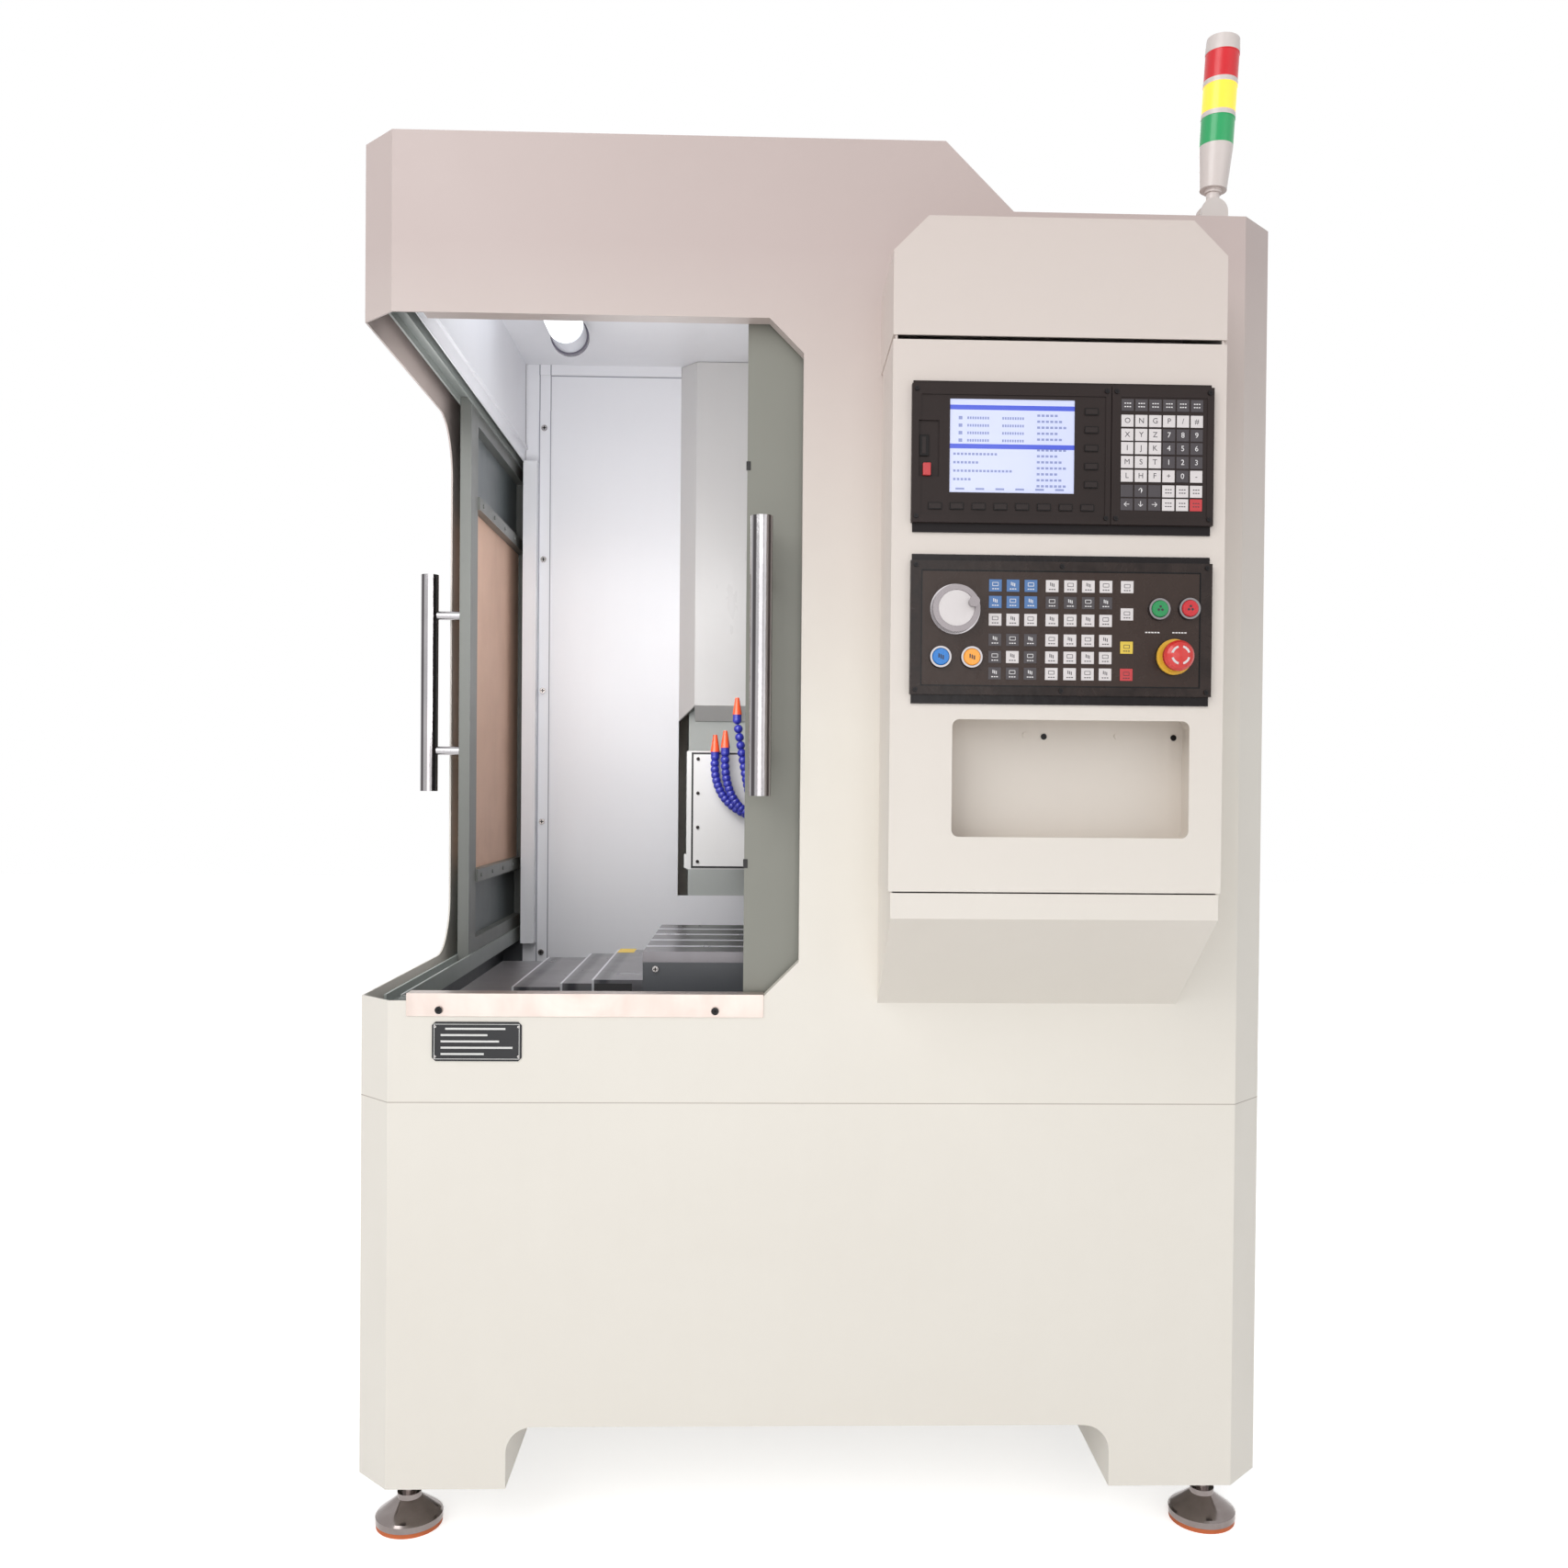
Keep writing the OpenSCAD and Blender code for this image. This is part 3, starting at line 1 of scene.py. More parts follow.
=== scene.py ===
"""Finishes and fine detail of an enclosed C-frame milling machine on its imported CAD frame."""

from __future__ import annotations

import functools
import json
import logging
import math
from dataclasses import dataclass, field, replace
from enum import Enum

import bmesh
import bpy
from mathutils import Matrix, Vector

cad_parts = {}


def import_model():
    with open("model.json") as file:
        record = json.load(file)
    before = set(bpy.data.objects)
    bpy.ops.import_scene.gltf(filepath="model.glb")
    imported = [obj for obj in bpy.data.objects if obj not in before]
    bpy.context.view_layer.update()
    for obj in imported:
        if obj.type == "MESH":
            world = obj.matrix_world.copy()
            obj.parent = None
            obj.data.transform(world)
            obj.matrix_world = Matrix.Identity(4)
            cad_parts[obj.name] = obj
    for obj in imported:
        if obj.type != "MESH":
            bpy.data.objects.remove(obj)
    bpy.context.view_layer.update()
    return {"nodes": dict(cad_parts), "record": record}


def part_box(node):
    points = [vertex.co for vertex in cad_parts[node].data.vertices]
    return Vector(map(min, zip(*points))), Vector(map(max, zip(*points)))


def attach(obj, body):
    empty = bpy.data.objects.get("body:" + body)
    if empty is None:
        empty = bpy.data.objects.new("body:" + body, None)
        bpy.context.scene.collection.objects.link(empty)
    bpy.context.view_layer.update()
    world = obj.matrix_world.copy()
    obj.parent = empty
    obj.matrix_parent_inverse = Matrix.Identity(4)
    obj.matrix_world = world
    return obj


LOG = logging.getLogger("milling_machine")
MM = 0.001
UNIT = ("cabinet", "bezel_plastic")
Colour = tuple[float, float, float]
Point = tuple[float, float, float]
Boxes = list[tuple[Point, Point]]
Shape = bmesh.types.BMesh
Node = bpy.types.Node
Socket = bpy.types.NodeSocket


def linear(r: float, g: float, b: float) -> Colour:
    """Turns a display colour into the linear one a shader takes.

    Args:
        r: Red, 0 to 255.
        g: Green, 0 to 255.
        b: Blue, 0 to 255.

    Returns:
        The linear colour.
    """

    def one(v: float) -> float:
        """Linear value of one channel."""
        v /= 255
        return v / 12.92 if v <= 0.04045 else ((v + 0.055) / 1.055) ** 2.4

    return one(r), one(g), one(b)


class Axis(Enum):
    """Direction that a pattern or a band runs across."""

    X = 0
    Y = 1
    Z = 2


X, Y, Z = Axis


MIX_COLOURS = (6, 7)
MIX_RESULT = 2


class Tree:
    """Short hand for adding and joining shader nodes in one tree."""

    def __init__(self, tree: bpy.types.NodeTree) -> None:
        """Keeps the tree.

        Args:
            tree: Node tree of a material or a group.
        """
        self.tree = tree

    def fill(self, node: Node, **values: object) -> Node:
        """Sets a node's properties and inputs.

        Args:
            node: The node.
            **values: Values or sockets: properties by name, inputs by name with an in_ prefix.

        Returns:
            The node.
        """
        for key, value in values.items():
            if not key.startswith("in_"):
                setattr(node, key, value)
            elif isinstance(value, Socket):
                self.link(value, node.inputs[key[3:].replace("_", " ")])
            else:
                node.inputs[key[3:].replace("_", " ")].default_value = value
        return node

    def add(self, kind: str, **values: object) -> Node:
        """Adds a node of a kind and fills it in."""
        return self.fill(self.tree.nodes.new(kind), **values)

    def place(self) -> Socket:
        """Place on the piece, in metres."""
        return self.add("ShaderNodeTexCoord").outputs["Object"]

    def noise(self, place: Socket, **values: object) -> Socket:
        """Adds a noise over a place."""
        return self.add("ShaderNodeTexNoise", in_Vector=place, **values).outputs["Fac"]

    def group(self, tree: bpy.types.NodeTree, **values: object) -> Socket:
        """Adds a shared group and gives the socket that leads out of it."""
        return self.add("ShaderNodeGroup", node_tree=tree, **values).outputs[0]

    def find(self, kind: str) -> Node:
        """First node of a type."""
        return next(n for n in self.tree.nodes if n.type == kind)

    def link(self, a: Socket, b: Socket) -> None:
        """Joins output a to input b."""
        self.tree.links.new(a, b)

    def maths(self, how: str, a: object, b: object = 0.0, clamp: bool = False) -> Socket:
        """Adds a Math node.

        Args:
            how: Operation.
            a: First value or socket.
            b: Second value or socket.
            clamp: True to hold the result between 0 and 1.

        Returns:
            The result's socket.
        """
        node = self.add("ShaderNodeMath", operation=how, use_clamp=clamp)
        for socket, v in zip(node.inputs, (a, b)):
            if isinstance(v, Socket):
                self.link(v, socket)
            else:
                socket.default_value = v
        return node.outputs[0]

    def mix(self, mask: Socket, a: object, b: object) -> Socket:
        """Mixes two colours by a mask.

        Args:
            mask: Share of b, 0 to 1.
            a: First colour or socket.
            b: Second colour or socket.

        Returns:
            The mixed colour's socket.
        """
        node = self.add("ShaderNodeMix", data_type="RGBA")
        self.link(mask, node.inputs[0])
        for i, v in zip(MIX_COLOURS, (a, b)):
            if isinstance(v, Socket):
                self.link(v, node.inputs[i])
            else:
                node.inputs[i].default_value = (*v, 1)
        return node.outputs[MIX_RESULT]

    def seen_directly(self) -> Socket:
        """Mask that is 1 for camera, glossy and transmission rays."""
        path = self.add("ShaderNodeLightPath")
        seen = self.maths("MAXIMUM", path.outputs["Is Camera Ray"], path.outputs["Is Glossy Ray"])
        return self.maths("MAXIMUM", seen, path.outputs["Is Transmission Ray"])


def new_material(name: str) -> tuple[bpy.types.Material, Tree, Node]:
    """Starts a material.

    Args:
        name: Name of the material.

    Returns:
        The material, its tree and its Principled node.
    """
    material = bpy.data.materials.new(name)
    material.use_nodes = True
    tree = Tree(material.node_tree)
    return material, tree, tree.find("BSDF_PRINCIPLED")


def placed(name: str, data: bpy.types.ID) -> bpy.types.Object:
    """Makes an object of some data and puts it in the scene.

    Args:
        name: Name of the object.
        data: Its mesh, curve, light or camera.

    Returns:
        The object.
    """
    obj = bpy.data.objects.new(name, data)
    bpy.context.scene.collection.objects.link(obj)
    return obj


class Groups:
    """Shader effects that several finishes share, each built once."""

    @staticmethod
    def start(name: str, ins: dict[str, float], out: str) -> tuple[Tree, Node, Socket]:
        """Starts a group with its sockets.

        Args:
            name: Name of the group.
            ins: Inputs and their defaults.
            out: Name of its output.

        Returns:
            The tree, its input node and the socket that leads out of it.
        """
        tree = Tree(bpy.data.node_groups.new(name, "ShaderNodeTree"))
        sockets = tree.tree.interface
        kind = "NodeSocketFloat"
        for key, value in ins.items():
            sockets.new_socket(key, in_out="INPUT", socket_type=kind).default_value = value
        sockets.new_socket(out, in_out="OUTPUT", socket_type=kind)
        return tree, tree.add("NodeGroupInput"), tree.add("NodeGroupOutput").inputs[out]

    @staticmethod
    @functools.cache
    def coat_texture() -> bpy.types.NodeTree:
        """Orange peel of sprayed paint or moulded plastic: Height."""
        t, i, out = Groups.start("coat_texture", {"Scale": 400.0}, "Height")
        scale = i.outputs["Scale"]
        t.link(t.noise(t.place(), in_Scale=scale, in_Detail=2.0, in_Roughness=0.5), out)
        return t.tree

    @staticmethod
    @functools.cache
    def handling() -> bpy.types.NodeTree:
        """Uneven dust and wiped smears: Mask, from broad clouds broken by fine streaks."""
        t, i, out = Groups.start("handling", {"Scale": 3.0, "Contrast": 2.0}, "Mask")
        place = t.place()
        broad = t.noise(
            place, in_Scale=i.outputs["Scale"], in_Detail=5.0, in_Roughness=0.62, in_Distortion=0.6
        )
        shape = t.add("ShaderNodeMapping", in_Vector=place, in_Scale=(1.0, 1.0, 0.12))
        fine = t.noise(shape.outputs[0], in_Scale=34.0, in_Detail=3.0, in_Roughness=0.6)
        both = t.maths("ADD", t.maths("MULTIPLY", broad, 0.75), t.maths("MULTIPLY", fine, 0.25))
        centred = t.maths("SUBTRACT", both, 0.5)
        spread = t.maths("MULTIPLY", centred, i.outputs["Contrast"])
        t.link(t.maths("ADD", spread, 0.5, clamp=True), out)
        return t.tree

    @staticmethod
    @functools.cache
    def brushing() -> bpy.types.NodeTree:
        """Fine lines left by brushing or grinding: Height, with each axis's stretch."""
        stretches = {f"Across {k}": 1.0 for k in "XYZ"}
        t, i, out = Groups.start("brushing", stretches, "Height")
        across = {f"in_{k}": i.outputs[f"Across {k}"] for k in "XYZ"}
        scale = t.add("ShaderNodeCombineXYZ", **across)
        stretch = t.add("ShaderNodeVectorMath", operation="MULTIPLY")
        t.link(t.place(), stretch.inputs[0])
        t.link(scale.outputs[0], stretch.inputs[1])
        t.link(t.noise(stretch.outputs[0], in_Scale=1.0, in_Detail=4.0, in_Roughness=0.65), out)
        return t.tree

    @staticmethod
    @functools.cache
    def band() -> bpy.types.NodeTree:
        """Mask that is 1 between two values of a coordinate, with soft ends."""
        ins = {"Value": 0.0, "Low": 0.0, "High": 1.0, "Soft": 0.001}
        t, i, out = Groups.start("band", ins, "Mask")
        above = t.maths("SUBTRACT", i.outputs["Value"], i.outputs["Low"])
        below = t.maths("SUBTRACT", i.outputs["High"], i.outputs["Value"])
        up, down = (t.maths("DIVIDE", gap, i.outputs["Soft"], clamp=True) for gap in (above, below))
        t.link(t.maths("MULTIPLY", up, down), out)
        return t.tree


COAT_ROUGHNESS = 0.12
MARK_CONTRAST = 2.4
WORN_SHARE = 0.72
DUST_ROUGHNESS = 0.14


@dataclass(frozen=True)
class Band:
    """Part of a surface with its own colour, between two heights along an axis."""

    axis: Axis
    low: float
    high: float
    colour: Colour
    soft: float = 0.0006
    glow: float = 0.0
    also: tuple[Axis, float, float] | None = None


@dataclass(frozen=True)
class Finish:
    """A surface finish, built as a Principled material with its texture, marks and bands."""

    name: str
    colour: Colour
    roughness: float = 0.4
    metallic: float = 0.0
    grain_scale: float = 500.0
    grain_depth: float = 0.00004
    marks: float = 0.12
    mark_colour: Colour | None = None
    mark_scale: float = 3.0
    brush: tuple[float, float, float] | None = None
    brush_depth: float = 0.00003
    coat: float = 0.0
    specular: float = 0.5
    bands: tuple[Band, ...] = field(default=())
    glow: float = 0.0

    def build(self) -> bpy.types.Material:
        """Builds the material.

        Returns:
            The material.
        """
        material, t, shader = new_material(self.name)
        dust = t.group(Groups.handling(), in_Scale=self.mark_scale, in_Contrast=MARK_CONTRAST)
        worn = self.mark_colour or tuple(c * WORN_SHARE for c in self.colour)
        colour = t.mix(t.maths("MULTIPLY", dust, self.marks), self.colour, worn)
        colour, glow = self._banded(t, colour)
        clean = self.roughness - DUST_ROUGHNESS / 2
        rough = t.maths("ADD", t.maths("MULTIPLY", dust, DUST_ROUGHNESS), clean, clamp=True)
        bump = t.add("ShaderNodeBump", in_Strength=1.0, in_Distance=1.0, in_Height=self._height(t))
        t.fill(
            shader, in_Base_Color=colour, in_Roughness=rough, in_Normal=bump.outputs[0],
            in_Metallic=self.metallic, in_Specular_IOR_Level=self.specular,
            in_Coat_Weight=self.coat, in_Coat_Roughness=COAT_ROUGHNESS,
        )
        if glow is not None:
            t.fill(shader, in_Emission_Color=glow, in_Emission_Strength=1.0)
        elif self.glow:
            t.fill(shader, in_Emission_Color=colour, in_Emission_Strength=self.glow)
        return material

    def _banded(self, t: Tree, colour: Socket) -> tuple[Socket, Socket | None]:
        """Lays the bands over the surface's colour.

        Args:
            t: The material's tree.
            colour: The surface's colour.

        Returns:
            The colour with the bands, and the light they give off, if any.
        """
        if not self.bands:
            return colour, None
        split = t.add("ShaderNodeSeparateXYZ", in_Vector=t.place())

        def within(axis: Axis, low: float, high: float, soft: float) -> Socket:
            """Mask between two values along an axis."""
            value = split.outputs[axis.value]
            return t.group(Groups.band(), in_Value=value, in_Low=low, in_High=high, in_Soft=soft)

        glow = None
        for band in self.bands:
            share = within(band.axis, band.low, band.high, band.soft)
            if band.also:
                share = t.maths("MULTIPLY", share, within(*band.also, band.soft))
            colour = t.mix(share, colour, band.colour)
            if band.glow:
                unlit = (0.0, 0.0, 0.0) if glow is None else glow
                glow = t.mix(share, unlit, tuple(c * band.glow for c in band.colour))
        return colour, glow

    def _height(self, t: Tree) -> Socket:
        """Adds the surface texture.

        Args:
            t: The material's tree.

        Returns:
            The height's socket, in metres.
        """
        if self.brush:
            across = {f"in_Across_{k}": value for k, value in zip("XYZ", self.brush)}
            return t.maths("MULTIPLY", t.group(Groups.brushing(), **across), self.brush_depth)
        grain = t.group(Groups.coat_texture(), in_Scale=self.grain_scale)
        return t.maths("MULTIPLY", grain, self.grain_depth)


def smooth(
    name: str, rgb: tuple[int, int, int], roughness: float = 0.35, marks: float = 0.12,
    **more: object,
) -> Finish:
    """Finish of a smooth moulded or printed surface.

    Args:
        name: Name of the finish.
        rgb: Its display colour.
        roughness: Its roughness.
        marks: How much dust shows.
        **more: Further fields of the finish.

    Returns:
        The finish.
    """
    more = {"grain_depth": 0.00001, **more}
    return Finish(name, linear(*rgb), roughness, marks=marks, **more)


CREAM = linear(236, 231, 222)
# Painted shade: cream darkened towards the top of the cabinet, where less light falls.
TOP_SHADE_CREAM = linear(212, 199, 193)
# Painted shade: darker, pinker cream over the upper cabinet, where less light falls.
FASCIA_SHADE_CREAM = linear(199, 183, 179)
# Painted shade: dark grey for the side door's panes, which are the door's own paint in shade.
PANE_SHADE_GREY = linear(97, 104, 106)
FLANGE = linear(20, 13, 15)
# Painted highlight: near-white lines along the edges of the table and its covers.
EDGE_HIGHLIGHT = linear(226, 226, 230)
GREEN = (134, 134, 125)
GREEN_DUST = tuple(c * 0.86 for c in linear(*GREEN))
ABOVE_ALL = 6.0
BEYOND = 0.01
FINE = 0.0004
JOINT = 0.0028

UPPER_CABINET = (
    "front_fascia", "left_corners", "right_corner", "left_side_panel",
    "right_side_panel", "roof", "rear_panel", "rear_door",
)
CONTROL_BOX = ("control_hood", "control_housing", "control_panel")

CREAM_DUST = {"marks": 0.10, "mark_colour": linear(212, 203, 190)}
ORANGE_PEEL = {"grain_scale": 420.0, "grain_depth": 0.00005}
ROLLED = {"grain_scale": 900.0, "grain_depth": 0.000004}
GLASS = {"grain_depth": 0.000004}

FINISHES: dict[str, Finish] = {finish.name: finish for finish in (
    Finish("cream_paint", CREAM, 0.38, **CREAM_DUST, **ORANGE_PEEL),
    Finish(
        "upper_cream_painted_shade", CREAM, 0.38, **CREAM_DUST, **ORANGE_PEEL,
        # Painted shade: the cream darkens softly from 0.7 m up towards the top.
        bands=(Band(Z, 0.7, ABOVE_ALL, TOP_SHADE_CREAM, soft=1.3),),
    ),
    Finish("pocket_cream", linear(222, 214, 205), 0.42, **ORANGE_PEEL),
    smooth("head_paint", (204, 202, 201), 0.3, 0.08, grain_depth=0.00002),
    smooth("rail_paint", (150, 155, 152), 0.38, 0.2, grain_depth=0.00003),
    smooth("door_paint", GREEN, 0.36, 0.22, mark_colour=GREEN_DUST, grain_depth=0.00003),
    smooth(
        "chamber_lining", (232, 232, 236), 0.34, 0.10,
        mark_colour=linear(206, 206, 212), grain_depth=0.00002,
    ),
    smooth("cast_base", (184, 188, 185), 0.5, 0.3, grain_scale=160.0, grain_depth=0.00025),
    smooth(
        "cover_steel", (124, 123, 128), 0.3, 0.3, metallic=0.85,
        mark_colour=linear(122, 118, 116), **ROLLED,
    ),
    smooth(
        "stainless", (206, 194, 187), 0.32, 0.6, metallic=0.9,
        mark_colour=linear(176, 158, 150), mark_scale=9.0, **ROLLED,
    ),
    smooth(
        "foot_steel", (150, 142, 140), 0.14, 0.35, metallic=1.0,
        mark_colour=linear(84, 66, 62), mark_scale=30.0, grain_scale=900.0,
    ),
    smooth(
        "foot_rubber", (206, 108, 60), 0.6, 0.35,
        mark_scale=26.0, grain_scale=700.0, grain_depth=0.0001,
    ),
    smooth("tray_steel", (86, 88, 92), 0.4, 0.3, grain_depth=0.00004),
    smooth(
        "bezel_plastic", (38, 29, 27), 0.42, 0.25, specular=0.2,
        mark_colour=linear(66, 56, 56), grain_scale=1500.0, grain_depth=0.00004,
    ),
    smooth("screen_glass", (196, 202, 232), 0.12, 0.1, glow=0.3, **GLASS),
    smooth(
        "dial_plastic", (132, 126, 128), 0.24, 0.15, metallic=0.9,
        brush=(900.0, 30.0, 900.0), brush_depth=0.000008,
    ),
    smooth(
        "button_chrome", (150, 146, 148), 0.1, 0.1, metallic=1.0,
        brush=(900.0, 20.0, 900.0), brush_depth=0.000006,
    ),
    smooth("blue_plastic", (36, 118, 196), 0.25, glow=0.15),
    smooth("orange_plastic", (244, 160, 60), 0.25, glow=0.15),
    smooth("green_plastic", (36, 146, 84), 0.25),
    smooth("red_plastic", (206, 44, 52), 0.25),
    smooth("stop_plastic", (214, 44, 40), 0.24, coat=0.3),
    smooth(
        "plate_metal", (40, 40, 42), 0.32, 0.2, metallic=0.4,
        brush=(8.0, 900.0, 900.0), brush_depth=0.00001,
    ),
    smooth(
        "overlay_film", (58, 45, 40), 0.26, 0.4, specular=0.2, coat=0.08,
        mark_colour=linear(98, 80, 73), mark_scale=24.0, grain_scale=60.0, grain_depth=0.0006,
    ),
    smooth("collar_yellow", (232, 184, 58), 0.35, 0.15),
    smooth("lamp_glass", (240, 244, 248), 0.25, 0.05, glow=1.1),
    smooth("bracket_plastic", (218, 210, 206), 0.42, 0.15, grain_depth=0.00003),
    smooth(
        "mask_paper", (226, 188, 166), 0.7, 0.4,
        mark_scale=7.0, grain_scale=260.0, grain_depth=0.0003,
    ),
    smooth("motor_paint", (44, 44, 46), 0.4, 0.2, grain_scale=300.0, grain_depth=0.00008),
    smooth(
        "spindle_steel", (190, 188, 188), 0.2, 0.15, metallic=1.0,
        brush=(30.0, 30.0, 1400.0), brush_depth=0.00001,
    ),
    smooth("key_white", (222, 216, 216)),
    smooth("key_dark", (64, 58, 62), marks=0.15),
    smooth("key_blue", (78, 118, 172)),
    smooth("key_yellow", (226, 196, 74)),
    smooth("key_red", (196, 58, 62)),
    smooth("key_edge", (15, 11, 11), 0.3, specular=0.2),
    smooth("key_soft", (46, 38, 37), marks=0.15, specular=0.2),
    smooth("screw_black", (26, 24, 26), 0.3, 0.15, metallic=0.6),
    smooth("legend_ink", (46, 42, 48), 0.5, 0.05),
    smooth("legend_white", (232, 230, 230), 0.5, 0.05),
    smooth("screen_ink", (132, 142, 186), 0.15, 0.05, glow=0.25, **GLASS),
    smooth("screen_blue", (66, 84, 196), 0.15, 0.05, glow=0.35, **GLASS),
    smooth("label_yellow", (232, 196, 60), 0.45, mark_scale=20.0, grain_depth=0.00002),
    smooth("label_white", (226, 226, 224), 0.45, mark_scale=20.0, grain_depth=0.00002),
    smooth("gasket_rubber", (34, 32, 33), 0.6, 0.2, grain_depth=0.00006),
    smooth(
        "screw_zinc", (190, 186, 184), 0.22, 0.2, metallic=1.0, mark_scale=60.0, grain_scale=900.0
    ),
)}


def chrome_tube(node: str) -> Finish:
    """Polished upright tube in a torn protective film, with painted dark reflections of the room
    down it.

    Args:
        node: The handle's node.

    Returns:
        Its finish.
    """
    lo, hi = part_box(node)
    # Painted reflections: two dark stripes down each tube stand for the room's dark edges seen in
    # the chrome; the lighter band below is the torn film.
    dark = linear(84, 80, 82)
    edges = tuple(
        Band(X, lo.x + a, lo.x + b, dark, soft=0.002)
        for a, b in ((0.0025, 0.0095), (0.0245, 0.0305))
    )
    film = Band(
        Z, lo.z - BEYOND, (lo.z + hi.z) / 2 - 0.03, linear(206, 190, 186), soft=0.03,
        also=(X, lo.x + 0.008, lo.x + 0.026),
    )
    return smooth(
        node, (182, 179, 181), 0.14, 0.35, metallic=1.0, mark_colour=linear(120, 118, 122),
        mark_scale=16.0, brush=(30.0, 30.0, 14.0), brush_depth=0.0006, bands=(*edges, film),
    )


def cabinet_finishes() -> dict[str, Finish]:
    """Finishes of the sheet metal: painted shade towards the top and a seam in front, painted shade
    on the side door and its panes, joints of the wall.

    Returns:
        Finish of each such node, by node name.
    """
    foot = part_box("front_fascia")[0].z
    seam = Band(Z, foot - BEYOND, foot + 0.0016, linear(186, 176, 166), soft=FINE)
    # Painted shade: the upper cabinet darkens from 1.2 m up, as the light falls off towards the
    # top.
    shade = Band(Z, 1.2, ABOVE_ALL, FASCIA_SHADE_CREAM, soft=0.7)
    front = replace(FINISHES["upper_cream_painted_shade"], name="fascia_cream_painted_shade", bands=(shade, seam))
    lo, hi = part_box("side_door")
    inside = (Y, lo.y + 0.062, hi.y - 0.062)
    # Painted shade: the panes are darker still, and the whole side door is a darker copy of the
    # door paint, because that side lies in shade.
    panes = tuple(
        Band(Z, a, b, PANE_SHADE_GREY, also=inside)
        for a, b in ((lo.z + 0.038, lo.z + 0.142), (hi.z - 0.17, hi.z - 0.038))
    )
    side = replace(
        FINISHES["door_paint"], name="side_door_paint", colour=linear(102, 104, 101), bands=panes
    )
    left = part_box("back_wall")[0].x
    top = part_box("ceiling")[1].z
    line = linear(150, 150, 158)
    edges = (0.029, 0.053)
    joints = [Band(X, left + a, left + a + JOINT, line, soft=FINE) for a in edges]
    across = (X, left + edges[1], 1.0)
    joints.append(Band(Z, top - 0.024 - JOINT, top - 0.024, line, soft=FINE, also=across))
    wall = replace(FINISHES["chamber_lining"], name="wall_lining", bands=tuple(joints))
    return {**dict.fromkeys(UPPER_CABINET, front), "side_door": side, "back_wall": wall}


LOW_FLANGE = 0.0118
TOP_FLANGE = 0.0088


def unit_finishes() -> dict[str, Finish]:
    """Finishes of the control units: dark flanges, and film inside a dark border.

    Returns:
        Finish of each such node, by node name.
    """
    lo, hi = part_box("operator_panel")
    film = FINISHES["overlay_film"]
    border = Band(
        X, lo.x + 0.0135, hi.x - 0.0145, linear(16, 13, 14),
        also=(Z, lo.z + 0.0225, hi.z - 0.0205),
    )
    sheet = Band(
        X, lo.x + 0.0155, hi.x - 0.0165, film.colour,
        also=(Z, lo.z + 0.0245, hi.z - 0.0225),
    )
    flanges = (
        Band(Z, lo.z - BEYOND, lo.z + LOW_FLANGE, FLANGE),
        Band(Z, hi.z - TOP_FLANGE, hi.z + BEYOND, FLANGE),
    )
    overlay = replace(film, colour=linear(26, 19, 18), marks=0.25, bands=(*flanges, border, sheet))
    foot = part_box("display_unit")[0].z
    flange = Band(Z, foot - BEYOND, foot + LOW_FLANGE, FLANGE)
    display = replace(FINISHES["bezel_plastic"], name="display_plastic", bands=(flange,))
    return {"operator_panel": overlay, "display_unit": display}


def lamp_finishes() -> dict[str, Finish]:
    """Finishes of the light tower, with its lenses, and of the work light, with its glass.

    Returns:
        Finish of each such node, by node name.
    """
    ring, lens = 0.007, 0.042
    cap = 0.016
    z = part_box("light_tower")[1].z - cap - ring
    # The yellow lens is the lit lamp; the faint glow of the red and green lenses is painted light,
    # as those lamps are off.
    colours = (((214, 34, 44), 0.12), ((252, 190, 60), 0.9), ((40, 160, 96), 0.18))
    lenses = tuple(
        Band(
            Z, z - (k + 1) * lens - k * ring, z - k * lens - k * ring,
            linear(*rgb), glow=glow,
        )
        for k, (rgb, glow) in enumerate(colours)
    )
    tower = smooth(
        "tower_plastic", (226, 216, 212), 0.24, 0.1, grain_depth=0.00004,
        brush=(260.0, 260.0, 6.0), brush_depth=0.0002, bands=lenses,
    )
    lo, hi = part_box("work_light")
    dark_end = Band(Y, hi.y - 0.021, hi.y + BEYOND, linear(96, 92, 104))
    glass = Band(
        Y, lo.y - BEYOND, hi.y - 0.075, linear(240, 244, 248), soft=0.01, glow=1.4
    )
    tube = smooth("lamp_tube", (206, 208, 216), 0.2, 0.05, bands=(glass, dark_end))
    return {"light_tower": tower, "work_light": tube}


def hose_finish() -> Finish:
    """Finish of the coolant hoses, with a nozzle at the top of each of the three."""
    lo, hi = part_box("coolant_hoses")
    tips = tuple(
        Band(
            Z, hi.z - drop - 0.03, hi.z - drop + BEYOND, linear(224, 84, 44), soft=0.0008,
            also=(X, lo.x + a, lo.x + b),
        )
        for drop, a, b in ((0.0, 0.033, 0.06), (0.058, 0.018, 0.033), (0.065, -0.01, 0.0165))
    )
    return smooth("hose_plastic", (44, 48, 150), 0.28, bands=tips)


